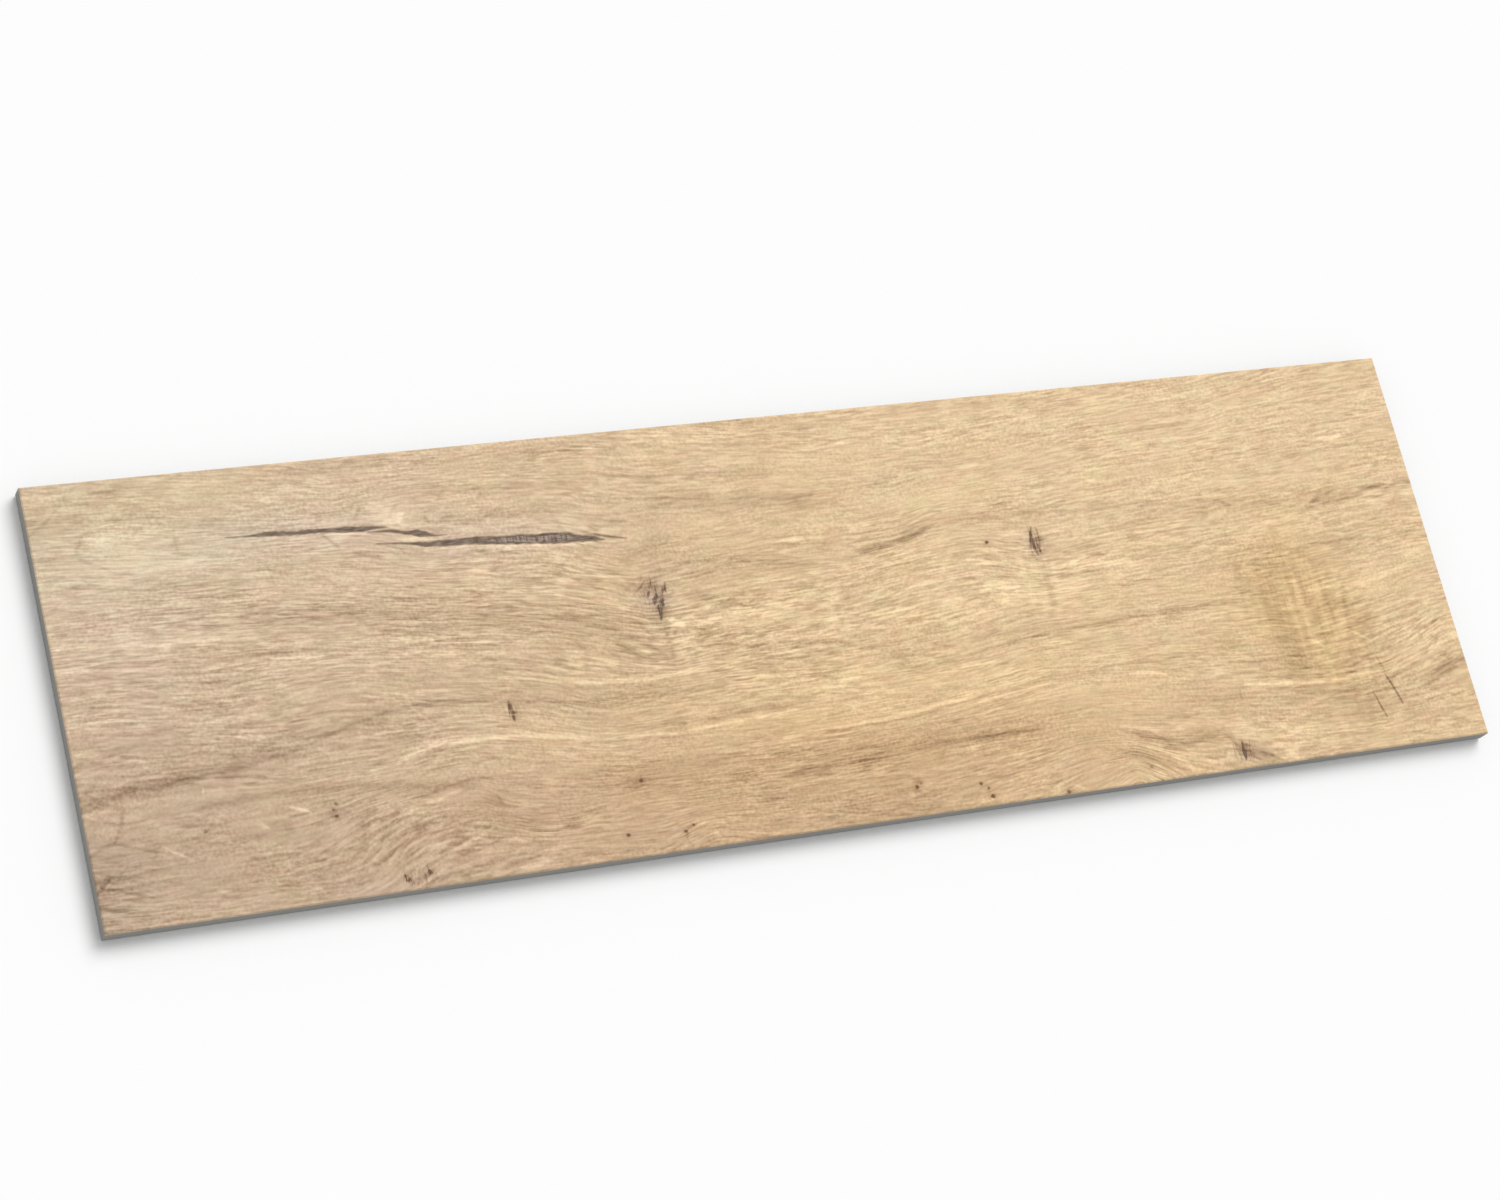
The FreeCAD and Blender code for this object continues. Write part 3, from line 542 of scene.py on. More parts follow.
    (0.38, 1.3, 40, -26.9, 52, -26.2, 58, -25.4, 63, -25.4, 70, -24.2, 82, -22, 96, -20.9),
    (-0.4, 1.2, 42, -30.4, 47, -31.6, 51, -32.9), (-0.4, 1.2, 59, -28.7, 66, -28.4, 78, -28.2, 83, -28.2),
    (0.33, 1, 74, -29.5, 83, -28.9, 95, -26.4, 108, -25.8, 120, -24.2, 129, -23.5),
    (0.42, 1.2, -2, -47.8, 8, -48.2, 22, -47.6, 30, -47.4, 44, -45.6, 56, -44, 66, -42.6, 78, -41.4,
     90, -40.4, 98, -38.7, 107, -37.6, 118, -37.3),
    (0.38, 1.1, 54, -47.9, 62, -46.8, 70, -45.4, 82, -44, 94, -42.2, 106, -40.8, 116, -40.3, 126, -40.8),
    (-0.45, 1.3, 34, -44.9, 42, -44.4, 50, -42.6, 58, -42.2, 71, -40.5),
    (-0.35, 1.1, 61, -44.7, 70, -43.6, 80, -42.6, 101, -40.1), (0.33, 1, -1, -56.6, 18, -56.7),
    (0.4, 1.2, 3, -62, 10, -62.1, 16, -61.9, 22, -61.7), (0.42, 1.2, 14, -60.3, 22, -59.3),
    (0.42, 1.3, 59, -58.3, 66, -58.6, 70, -59.3, 75, -58.6, 82, -58.4, 93, -59.3),
    (-0.38, 1.4, 14, -66.1, 21, -65.6), (-0.33, 1.2, 49, -63.1, 60, -62.4, 64, -61.6, 67, -63.4),
    (0.42, 1, 64, -75.8, 70, -75.8), (0.33, 1, 55, -71.5, 62, -72.8, 69, -73),
    (-0.5, 2.4, 27, -77.4, 29, -78.8),
    (0.38, 1.3, 98, -20.1, 107, -19.2, 116, -18.4, 132, -17.7, 146, -16.7, 156, -17, 166, -16.2, 175, -16.4,
     184, -15.9, 201, -15.2),
    (-0.5, 1.2, 103, -22.1, 109, -23, 117, -24.3), (0.42, 1.2, 116, -27.5, 120, -27.5),
    (0.38, 1.1, 123, -33.2, 132, -32.8), (0.33, 1.1, 139, -32.6, 148, -32.8),
    (0.33, 1.1, 176, -32.4, 186, -31.8, 193, -32.7),
    (0.45, 1.2, 126, -36.4, 138, -36.4, 149, -36.6, 154, -37.4, 162, -36, 175, -36, 190, -35.3, 206, -35.6,
     217, -35.6, 222, -36.4, 225, -35.6, 229, -36, 234, -34.8, 247, -33.2, 256, -31.4, 268, -28.8,
     278, -27.2, 287, -25.2),
    (-0.55, 1.4, 139, -40.7, 147, -41.2, 151, -42, 155, -43.3),
    (-0.33, 1.2, 102, -43.2, 110, -41.6, 120, -41.4, 131, -42.3), (-0.4, 1.3, 190, -40.4, 197, -40.4),
    (0.38, 1.2, 189, -42.4, 206, -43.2, 216, -42.4, 222, -43.1, 238, -42.2),
    (0.38, 1.1, 149, -47.4, 156, -47.8, 172, -48.2, 188, -46.9, 200, -47.6, 210, -47.4, 222, -48.4,
     237, -48.4),
    (0.45, 1.3, 242, -47.1, 252, -46.3, 258, -45.6, 267, -43.6),
    (-0.33, 1.1, 177, -45.8, 190, -45.6, 199, -46),
    (-0.6, 1.6, 189, -51.7, 195, -52.8, 206, -53.4, 218, -54.2, 229, -55.5),
    (-0.45, 1.5, 231, -55.3, 238, -55.4, 244, -54.8, 258, -52.9),
    (0.33, 1, 199, -55.1, 207, -55.4, 213, -56.2, 222, -56.8, 238, -56.4, 246, -55.9),
    (0.38, 1.1, 205, -51.4, 213, -52, 222, -52.8, 233, -53.4, 246, -52.5),
    (0.4, 1.1, 209, -58.9, 220, -59.4, 235, -60.6, 242, -60.8), (0.38, 1, 207, -69, 223, -69.4),
    (0.42, 1.1, 231, -70.9, 238, -71.2, 252, -71.8), (0.38, 1, 261, -72.2, 268, -72.4),
    (0.38, 1.2, 259, -57.6, 265, -56.2, 270, -54.6, 276, -51.8),
    (0.38, 1.1, 249, -59, 258, -58.4, 263, -57.4), (0.38, 1.1, 265, -59.1, 270, -57.4, 275, -55.8),
    (-0.33, 1.2, 261, -54.6, 268, -52, 276, -49.6),
    (0.42, 1.9, 275, -63.2, 281, -61.8, 288, -58.4, 293, -57.2, 302, -56.4),
    (0.38, 1.5, 281, -57, 288, -55.6, 302, -53.2), (0.55, 1.3, 287, -36.2, 291, -35, 297, -34.2),
    (0.38, 1.2, 279, -38.6, 287, -37), (0.35, 1.1, 264, -33.1, 271, -32, 278, -30.6),
    (-0.6, 2.2, 287.4, -27, 289.4, -27), (-0.4, 1.2, 257, -7.1, 264, -6.6, 271, -5.9),
    (-0.5, 1.6, 232, -15, 238, -14.5, 246, -14.1), (-0.38, 1.3, 256, -15.1, 264, -15.6),
    (0.45, 1.3, 255, -16.3, 262, -17), (0.33, 1.1, 264, -18.7, 272, -18, 286, -16.4, 295, -16.1),
    (0.38, 1.1, 271, -14.9, 277, -14, 284, -12.6), (0.33, 1.2, 233, -23.6, 240, -22, 246, -21.6, 257, -22),
    (0.45, 2.2, 220.4, -47.6, 223.4, -49), (0.42, 1, 264, -77.3, 270, -78, 279, -78.7),
    (-0.33, 1.3, 244, -79, 262, -78.4), (-0.45, 1.4, 127, -61.6, 134, -63.2, 144, -66.1),
    (0.35, 2, 124, -71.8, 132, -74.6, 140, -77.4, 143, -79.4, 146, -82, 152, -84.4),
    (0.3, 2.2, 133, -66, 140, -69, 145, -70.2, 148, -72, 153, -73.4, 158, -74, 163, -72.8, 170, -70.6),
    (-0.42, 1.8, 136, -71.6, 143, -74, 148, -78, 155, -81), (-0.33, 1.3, 119, -78.2, 127, -77.6, 135, -79.6),
    (-0.5, 1.4, 99, -83.6, 105, -86.4), (0.38, 1.1, 99, -76, 106, -74.4, 114, -73.7),
    (0.4, 1.6, 188, -81.2, 192, -82.6, 196, -84.2, 201, -83),
)

# Zones where a part of the print is stronger than elsewhere, or weaker below 0, as ovals with flat middles.
ZONES = {
    # All fibres
    "Lively": patches(
        (-230, 16, 90, 26, 0.3), (-100, 14, 55, 30, 0.3), (-20, -4, 50, 22, 0.5), (80, 6, 60, 24, 0.25),
        (170, 12, 60, 16, 0.15), (265, -38, 45, 20, 0.3), (180, -80, 60, 10, 0.3), (-190, -66, 30, 16, 0.35),
        (-250, -58, 60, 26, -0.3), (40, 55, 90, 16, -0.2), (-40, 38, 30, 12, -0.3), (130, -52, 60, 10, -0.3),
        (-130, -52, 60, 10, -0.25),
    ),
    # Wide, wavy figure beside the knots
    "Ripple": patches(
        (-28, 2, 30, 13, 1.6), (10, -12, 16, 24, 0.9), (100, 10, 16, 14, 0.6), (60, 8, 30, 12, 0.35),
        (-72, -3, 15, 10, 0.4), (-195, -68, 22, 13, 0.55), (145, -76, 34, 9, 0.5), (60, -79, 34, 7, 0.45),
        (205, -10, 14, 16, 0.4),
    ),
    # Hairy figure of the knots
    "Knots": patches(
        (-60, 17, 8, 8, 0.9), (-57, 9, 3, 5, 0.6), (112, 20, 4, 8, 0.9), (181, -80, 5, 5, 1.0),
        (-128.4, -23, 3, 5, 0.7), (108, 8, 5, 10, 0.35), (182, -80, 7, 5, 0.7), (-180, -82, 8, 5, 0.8),
        (-206, -53, 4, 5, 0.3), (64, -81, 8, 4, 0.3), (-83, -57, 4, 3, 0.3),
    ),
    # Bands across the grain
    "Cross": patches(
        (217, -12, 17, 30, 0.8), (242, -40, 20, 34, 0.8), (109, 6, 9, 18, 1.2), (-52, -8, 5, 12, 0.5),
        (17, -12, 5, 16, 0.8), (185, -70, 20, 12, 0.4),
    ),
    # Where the print turns olive, or rosier below 0
    "Olive": patches(
        (-262, 64, 60, 30, 0.4), (-20, -68, 190, 30, -0.28),
    ),
}

# Where the print turns more honey, or rose grey below 0: an oval's middle, half length, half width and amount.
WARM_PATCHES = patches(
    (10, -50, 150, 30, 0.35), (215, -14, 22, 26, 0.55), (240, -30, 24, 34, 0.5), (-190, 58, 55, 9, -0.45),
    (-115, 47, 50, 8, -0.55), (-59, 16, 7, 8, -0.8), (113, 19, 8, 7, -0.45), (182, -80, 10, 5, -0.5),
    (-297, -68, 16, 16, -0.5), (-296, 30, 34, 18, -0.15), (-180, -84, 30, 5, -0.3), (-265, 80, 70, 16, 0.4),
)


def smooth_line(points, along):
    """A smooth curve through given points, read at each value along it.

    It is a cubic between each two points. Its slope at a point is the harmonic mean of the slopes of the
    straight lines to its neighbours, and 0 at a crest, a dip or an end, so it never swings past its points.
    """
    places, heights = np.array(points, float).T
    if places[0] > places[-1]:
        places, heights = places[::-1], heights[::-1]
    rises = np.diff(heights) / np.diff(places)
    before, after = rises[:-1], rises[1:]
    same_way = before * after > 0
    slopes = np.zeros(len(places))
    slopes[1:-1][same_way] = (2 * before * after)[same_way] / (before + after)[same_way]
    left = np.clip(np.searchsorted(places, along) - 1, 0, len(places) - 2)
    gap = places[left + 1] - places[left]
    t = np.clip((along - places[left]) / gap, 0, 1)
    return (
        (1 + 2 * t) * (1 - t) ** 2 * heights[left]
        + t * (1 - t) ** 2 * gap * slopes[left]
        + t * t * (3 - 2 * t) * heights[left + 1]
        + t * t * (t - 1) * gap * slopes[left + 1]
    )


def soft_step(value, low, high):
    """From 0 at low to 1 at high, with a smooth start and end: 3 t squared less 2 t cubed."""
    t = np.clip((value - low) / (high - low), 0, 1)
    return t * t * (3 - 2 * t)


def guide_height(x, y):
    """Which fibre runs through each point, as a height, from the guides alone.

    Each guide has its own mean height as its name. Between two guides that name rises in proportion.
    """
    guides = np.array([smooth_line(points, x) for points in FIBRE_GUIDES])
    names = guides.mean(axis=tuple(range(1, guides.ndim)))
    above = np.clip((guides <= y).sum(0), 1, len(guides) - 1)
    low = np.take_along_axis(guides, above[None] - 1, 0)[0]
    high = np.take_along_axis(guides, above[None], 0)[0]
    share = (y - low) / (high - low)
    return names[above - 1] + share * (names[above] - names[above - 1])


def even_fibres():
    """A grid of fibre heights whose level lines run along the guides while they stay evenly far apart.

    It is the least squares answer to two wishes at once, found by conjugate gradients. In each cell the height
    doesn't change along the guides' slope there, and up each edge it rises by as much as the edge is long.
    Where the guides turn steep, at the seam below the knot, the first wish is dropped and the fibres may break.
    """
    x, y = np.meshgrid(np.arange(-FLOW_REACH[0], FLOW_REACH[0] + 1, FLOW_STEP),
                       np.arange(-FLOW_REACH[1], FLOW_REACH[1] + 1, FLOW_STEP))
    name = guide_height(x, y)
    rise_x = name[1:, 1:] + name[:-1, 1:] - name[1:, :-1] - name[:-1, :-1]
    rise_y = name[1:, 1:] + name[1:, :-1] - name[:-1, 1:] - name[:-1, :-1]
    slope = -rise_x / rise_y
    trust = 1 / (1 + slope**4)
    slope = np.clip(slope, -1, 1)
    low, high = slice(None, -1), slice(1, None)
    corners = (
        ((high, high), trust * (1 + slope)), ((high, low), trust * (slope - 1)),
        ((low, high), trust * (1 - slope)), ((low, low), trust * (-1 - slope)),
    )

    def squares(height):
        """How hard both wishes pull at each height of the grid."""
        across = sum(weight * height[corner] for corner, weight in corners)
        up = EVENNESS * (height[1:] - height[:-1])
        out = np.zeros_like(height)
        for corner, weight in corners:
            out[corner] += weight * across
        out[1:] += up
        out[:-1] -= up
        return out

    height = y.astype(float)
    error = -squares(height)
    error[-1] += EVENNESS * FLOW_STEP
    error[0] -= EVENNESS * FLOW_STEP
    search = error
    size = (error * error).sum()
    for _ in range(FLOW_ROUNDS):
        pushed = squares(search)
        stride = size / (search * pushed).sum()
        height = height + stride * search
        error = error - stride * pushed
        new_size = (error * error).sum()
        search = error + new_size / size * search
        size = new_size
    return height


def fibre_height(flow, x, y):
    """The fibre height at each point, read between the four nearest points of the grid in proportion.

    A point on the grid's last line is read from a thousandth of a step inside it.
    """
    just_inside = 1.001
    column = np.clip((x + FLOW_REACH[0]) / FLOW_STEP, 0, flow.shape[1] - just_inside)
    row = np.clip((y + FLOW_REACH[1]) / FLOW_STEP, 0, flow.shape[0] - just_inside)
    i, j = row.astype(int), column.astype(int)
    up, right = row - i, column - j
    return (
        (flow[i, j] * (1 - right) + flow[i, j + 1] * right) * (1 - up)
        + (flow[i + 1, j] * (1 - right) + flow[i + 1, j + 1] * right) * up
    )


def stroke_shade(stroke, x, y):
    """The shade that a stroke adds: a bell curve of the distance from its line, fading out over its ends.

    It fades over three half widths and 4 mm, or over half its length where that is less.
    """
    along, across = (y, x) if stroke.upright else (x, y)
    ends = sorted((stroke.points[0][0], stroke.points[-1][0]))
    fade = min(3 * stroke.width + 4, (ends[1] - ends[0]) / 2)
    inside = soft_step(along, ends[0], ends[0] + fade) * soft_step(-along, -ends[1], fade - ends[1])
    distance = (across - smooth_line(stroke.points, along)) / stroke.width
    return stroke.shade * inside * np.exp(-distance * distance)


def patch_shade(patch, x, y):
    """The shade that an oval patch adds: a bell curve of the distance from its middle."""
    return patch.shade * np.exp(-(((x - patch.x) / patch.length) ** 2) - ((y - patch.y) / patch.width) ** 2)


def face_tone_and_shade(x, y):
    """How light the face is before its grain: broad slopes over the plank, then each stroke and patch.

    The slopes are partly the print's own tone and partly painted shade. They make it lighter at the right
    and at the far side, and darker along the near edge, less so at its right, and darker again in the near
    left corner.
    """
    # Painted shade as well as print: the face darkens towards the left, the near edge and the near left corner.
    tone = 0.08 + 0.14 * np.tanh((x + 15) / 90)
    tone += 0.06 * soft_step(y, 0, 60)
    tone -= 0.32 * soft_step(-y, 40, 58) * (1 - 0.6 * soft_step(x, 30, 200))
    tone -= 0.08 * soft_step(-x, 190, 300) * soft_step(-y, 10, 50)
    for stroke in STROKES:
        tone += stroke_shade(stroke, x, y)
    for patch in PATCHES:
        tone += patch_shade(patch, x, y)
    return tone


def face_warmth(x, y):
    """How honey coloured the print is: rose grey at the left end and honey from the middle on.

    It is a little less so along the far side, and each warm patch adds its own.
    """
    warmth = -0.68 + 1.02 * soft_step(x, -290, 20) - 0.12 * soft_step(y, 0, 80)
    for patch in WARM_PATCHES:
        warmth += patch_shade(patch, x, y)
    return warmth


def zone_strength(zones, x, y):
    """The sum of oval zones with flat middles: each falls off with the fourth power of the distance."""
    strength = 0 * x
    for zone in zones:
        reach = ((x - zone.x) / zone.length) ** 2 + ((y - zone.y) / zone.width) ** 2
        strength += zone.shade * np.exp(-reach * reach)
    return strength


def vein_mark(ink, width, *places):
    """A vein as a mark, which widens over a third of its first step, 3 mm at most, and narrows so too."""
    points = list(zip(places[::2], places[1::2], strict=True))
    ends = []
    for (ax, ay), (bx, by) in (points[:2], points[:-3:-1]):
        share = min(1 / 3, 3 / math.hypot(bx - ax, by - ay))
        ends.append([(ax, ay, VEIN_TIP), (ax + share * (bx - ax), ay + share * (by - ay), width)])
    between = [(x, y, width) for x, y in points[1:-1]]
    return Mark(ink, (*ends[0], *between, *ends[1][::-1]))


def mark_room(mark, x, y):
    """For each point, its distance left of the mark's middle line, and the mark's half width there.

    Past the mark's end its half width goes on below 0, by as much as the point is past it.
    """
    across = np.full(x.shape, FAR)
    half = np.full(x.shape, -FAR)
    for (ax, ay, a_width), (bx, by, b_width) in zip(mark.line, mark.line[1:], strict=False):
        length = math.hypot(bx - ax, by - ay)
        along = ((x - ax) * (bx - ax) + (y - ay) * (by - ay)) / length
        left = ((bx - ax) * (y - ay) - (by - ay) * (x - ax)) / length
        past = np.maximum(0, np.maximum(-along, along - length))
        here = (a_width + (b_width - a_width) * np.clip(along / length, 0, 1)) / 2 - past
        nearer = here - abs(left) > half - abs(across)
        across = np.where(nearer, left, across)
        half = np.where(nearer, here, half)
    return across, half


def mark_sheets(x, y):
    """The marks, shared out over a few sheets so that marks on one sheet keep apart.

    A sheet holds three numbers for each point: the distance across the nearest mark, its half width and its
    ink. They are filled in only near a mark, as far as a mesh face reaches.
    """
    sheets = np.zeros((MARK_SHEETS, 3, x.size))
    sheets[:, 0] = FAR
    sheets[:, 1] = -FAR
    for mark in (*MARKS, *(vein_mark(*vein) for vein in VEINS)):
        line = np.array(mark.line)
        reach = MARK_REACH + line[:, 2].max() / 2
        (left, bottom, _), (right, top, _) = line.min(0) - reach, line.max(0) + reach
        close = np.flatnonzero((x > left) & (x < right) & (y > bottom) & (y < top))
        across, half = mark_room(mark, x[close], y[close])
        near = half - abs(across) > -MARK_REACH
        taken = [np.count_nonzero(sheet[1][close[near]] > -FAR) for sheet in sheets]
        sheet = sheets[int(np.argmin(taken))]
        mine = near & (half - abs(across) > sheet[1][close] - abs(sheet[0][close]))
        sheet[:, close[mine]] = across[mine], half[mine], np.full(mine.sum(), mark.ink)
    return sheets


def length_setting(name, description, millimetres):
    """A length that the user can change."""
    return bpy.props.FloatProperty(
        name=name, description=description, default=millimetres * MM, unit="LENGTH")


def colour_setting(name, description, *levels):
    """A colour that the user can change, by its printed levels."""
    return bpy.props.FloatVectorProperty(
        name=name, description=description, subtype="COLOR", default=printed(*levels))


class PlankShape(bpy.types.PropertyGroup):
    """Sizes of the plank that the face, the edges and the back are built to."""

    face_bevel: length_setting("Face bevel", "Ground bevel round the printed face", 0.5)
    bed_bevel: length_setting("Back bevel", "Bevel round the back", 0.8)
    border_width: length_setting("Plain border", "Plain border round the keyed back", 7)
    rib_width: length_setting("Rib width", "Width of a rib of the back at the bedding plane", 2.5)
    key_pitch: length_setting("Rib step", "Wanted step from rib to rib", 40)
    key_depth: length_setting("Pocket depth", "Depth of a pocket of the back", 0.7)
    key_radius: length_setting("Pocket corner", "Corner radius at a pocket's mouth", 3)
    crack_depth: length_setting("Crack depth", "How deep the drying cracks are pressed", 0.25)
    grain_depth: length_setting("Grain depth", "Height of the pressed wood grain", 0.05)
    columns: bpy.props.IntProperty(
        name="Face columns", description="Mesh faces along the printed face", default=384, min=60)
    rows: bpy.props.IntProperty(
        name="Face rows", description="Mesh faces across the printed face", default=208, min=30)


class PrintColours(bpy.types.PropertyGroup):
    """Inks of the printed face and colours of the fired body."""

    shadow_brown: colour_setting("Shadow brown", "Darkest wood", 112, 84, 58)
    dark_oak: colour_setting("Dark oak", "Growth lines and pores", 168, 139, 106)
    middle_oak: colour_setting("Middle oak", "Middle tone of the wood", 213, 185, 148)
    pale_oak: colour_setting("Pale oak", "Cream streaks", 252, 226, 184)
    bleached_oak: colour_setting("Bleached oak", "Lightest flecks", 255, 243, 212)
    crack_fill: colour_setting("Crack", "Inside of a drying crack", 124, 107, 92)
    knot_dark: colour_setting("Knot", "Heart of a knot", 94, 80, 66)
    fired_body: colour_setting("Fired body", "Bare porcelain of edges and back", 142, 141, 136)
    kiln_wash: colour_setting("Kiln wash", "Pale dust on the ribs of the back", 205, 203, 197)


class StudioSettings(bpy.types.PropertyGroup):
    """The camera, the light and the floor."""

    camera_place: bpy.props.FloatVectorProperty(
        name="Camera place", description="Where the camera stands", subtype="XYZ", unit="LENGTH",
        default=(-0.60825, -0.40663, 1.28586))
    camera_aim: bpy.props.FloatVectorProperty(
        name="Camera aim", description="Point of the face in the middle of the picture", subtype="XYZ",
        unit="LENGTH", default=(-0.01986, 0.01005, 0.008))
    camera_roll: bpy.props.FloatProperty(
        name="Camera roll", description="Turn of the camera about its line of sight", subtype="ANGLE",
        default=math.radians(44.167))
    lens: bpy.props.FloatProperty(name="Lens", description="Focal length in millimetres", default=88.55)
    sky: bpy.props.FloatProperty(name="Sky light", description="Strength of the even light", default=0.55)
    key: bpy.props.FloatProperty(
        name="Key light", description="Share of the light on the face that comes from the key", default=0.45)
    key_from: bpy.props.FloatVectorProperty(
        name="Key from", description="Direction of the key light", subtype="XYZ", default=(0.55, 0.6, 1.0))
    key_softness: bpy.props.FloatProperty(
        name="Key softness", description="Angle that the key light covers", subtype="ANGLE",
        default=math.radians(40))
    floor: colour_setting("Floor", "Colour of the floor", 253, 253, 253)


# The relief fades in over this far from the face's rim. The grid lines of a pocket's corner are at these shares
# of its radius. Edges that turn by more than the sharp angle are shaded as edges.
RIM_FADE = 2
CORNER_LINES = (0.45, 0.7, 1)
SHARP_ANGLE = math.radians(20)

Plank = namedtuple(
    "Plank", "length width thickness face_bevel bed_bevel border rib pitch key_depth key_radius columns rows")


def plank_sizes(shape):
    """The plank's sizes in millimetres: its overall size is the frame's, and the rest is the user's."""
    low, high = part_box(NODE)
    length, width, thickness = (high - low) / MM
    return Plank(
        length, width, thickness, shape.face_bevel / MM, shape.bed_bevel / MM, shape.border_width / MM,
        shape.rib_width / MM, shape.key_pitch / MM, shape.key_depth / MM, shape.key_radius / MM,
        shape.columns, shape.rows)


def grid_quads(number):
    """The four corners of each mesh face of a grid of vertex numbers, anticlockwise seen from its front."""
    corners = number[:-1, :-1], number[:-1, 1:], number[1:, 1:], number[1:, :-1]
    return np.stack(corners, -1).reshape(-1, 4)


def rim(grid):
    """The border of a grid as one closed loop, anticlockwise from its near left corner."""
    return np.concatenate([grid[0, :-1], grid[:-1, -1], grid[-1, :0:-1], grid[:0:-1, 0]])


def face_points(plank, relief):
    """The printed face: a grid of x and y over the face inside its bevel, at the thickness less the relief."""
    x = np.linspace(-1, 1, plank.columns + 1) * (plank.length / 2 - plank.face_bevel)
    y = np.linspace(-1, 1, plank.rows + 1) * (plank.width / 2 - plank.face_bevel)
    x, y = np.meshgrid(x, y)
    to_rim = np.minimum(x.max() - abs(x), y.max() - abs(y))
    depth = relief(x, y) * soft_step(to_rim, 0, RIM_FADE)
    return np.stack([x, y, plank.thickness - depth], -1)


def wall_points(plank, face_rim):
    """The edges: the plank's profile carried round its outline, from the bed's rim up to the face's rim.

    Each point of the face's rim is drawn out to the outline of each row of the profile, corner to corner.
    """
    unit = face_rim[:, :2] / face_rim[:, :2].max(0)
    half = np.array([plank.length, plank.width]) / 2
    profile = (
        (plank.bed_bevel, 0.0),
        (0.0, plank.bed_bevel),
        (0.0, plank.thickness - plank.face_bevel),
    )
    rows = [np.column_stack([unit * (half - inset), np.full(len(unit), height)]) for inset, height in profile]
    return np.array(rows)


def key_cells(plank, extent):
    """The middles and half size of the pockets along one direction of the back, an even count of them."""
    span = extent - 2 * plank.border
    count = 2 * max(1, round((span + plank.rib) / plank.pitch / 2))
    step = (span + plank.rib) / count
    return (np.arange(count) - (count - 1) / 2) * step, (step - plank.rib) / 2


def key_lines(plank, extent):
    """The grid lines along one direction of the back: at each pocket's mouth, floor and rounded corners."""
    middles, half = key_cells(plank, extent)
    inset = np.array([0, plank.key_depth, *(plank.key_radius * np.array(CORNER_LINES))])
    one_side = half - inset
    offsets = np.concatenate([-one_side, one_side[::-1]])
    return (middles[:, None] + offsets).ravel()


def bed_points(plank):
    """The keyed back: the depth below a rib's top is the distance inside the pocket's rounded outline.

    That distance is measured to a rectangle drawn in by the corner radius, plus the radius. It stops at the
    pocket's depth, so the walls lean at 45 degrees.
    """
    depth = []
    x, y = np.meshgrid(key_lines(plank, plank.length), key_lines(plank, plank.width))
    for place, extent in ((x, plank.length), (y, plank.width)):
        middles, half = key_cells(plank, extent)
        from_middle = abs(place[..., None] - middles).min(-1)
        depth.append(from_middle - half + plank.key_radius)
    outside = np.hypot(np.maximum(depth[0], 0), np.maximum(depth[1], 0))
    distance = outside + np.minimum(np.maximum(depth[0], depth[1]), 0) - plank.key_radius
    return np.stack([x, y, np.clip(-distance, 0, plank.key_depth)], -1)


def stitched(outer, inner, outer_place, inner_place):
    """Triangles, seen from below, between two rows of vertices that run side by side.

    Each step goes on along the row whose next vertex comes first, so the rows may differ in count.
    """
    ends = np.concatenate([outer_place[1:], inner_place[1:]])
    on_outer = np.argsort(ends, kind="stable") < len(outer) - 1
    i = np.cumsum(on_outer) - on_outer
    j = np.cumsum(~on_outer) - ~on_outer
    outer_step = np.column_stack([outer[np.minimum(i + 1, len(outer) - 1)], outer[i], inner[j]])
    inner_step = np.column_stack([inner[j], inner[np.minimum(j + 1, len(inner) - 1)], outer[i]])
    return np.where(on_outer[:, None], outer_step, inner_step)


# The bake map: the face takes most of it, above a strip for the edges and a strip for the back.
FACE_CHART = (0.01, 0.20, 0.98, 0.79)
WALL_CHART = (0.01, 0.155, 0.98, 0.03)
BED_CHART = (0.01, 0.01, 0.98, 0.13)


def on_chart(chart, across, up):
    """Map coordinates of shares from 0 to 1 of a chart, which is its left, bottom, width and height."""
    left, bottom, width, height = chart
    return np.stack([left + width * across, bottom + height * up], -1)


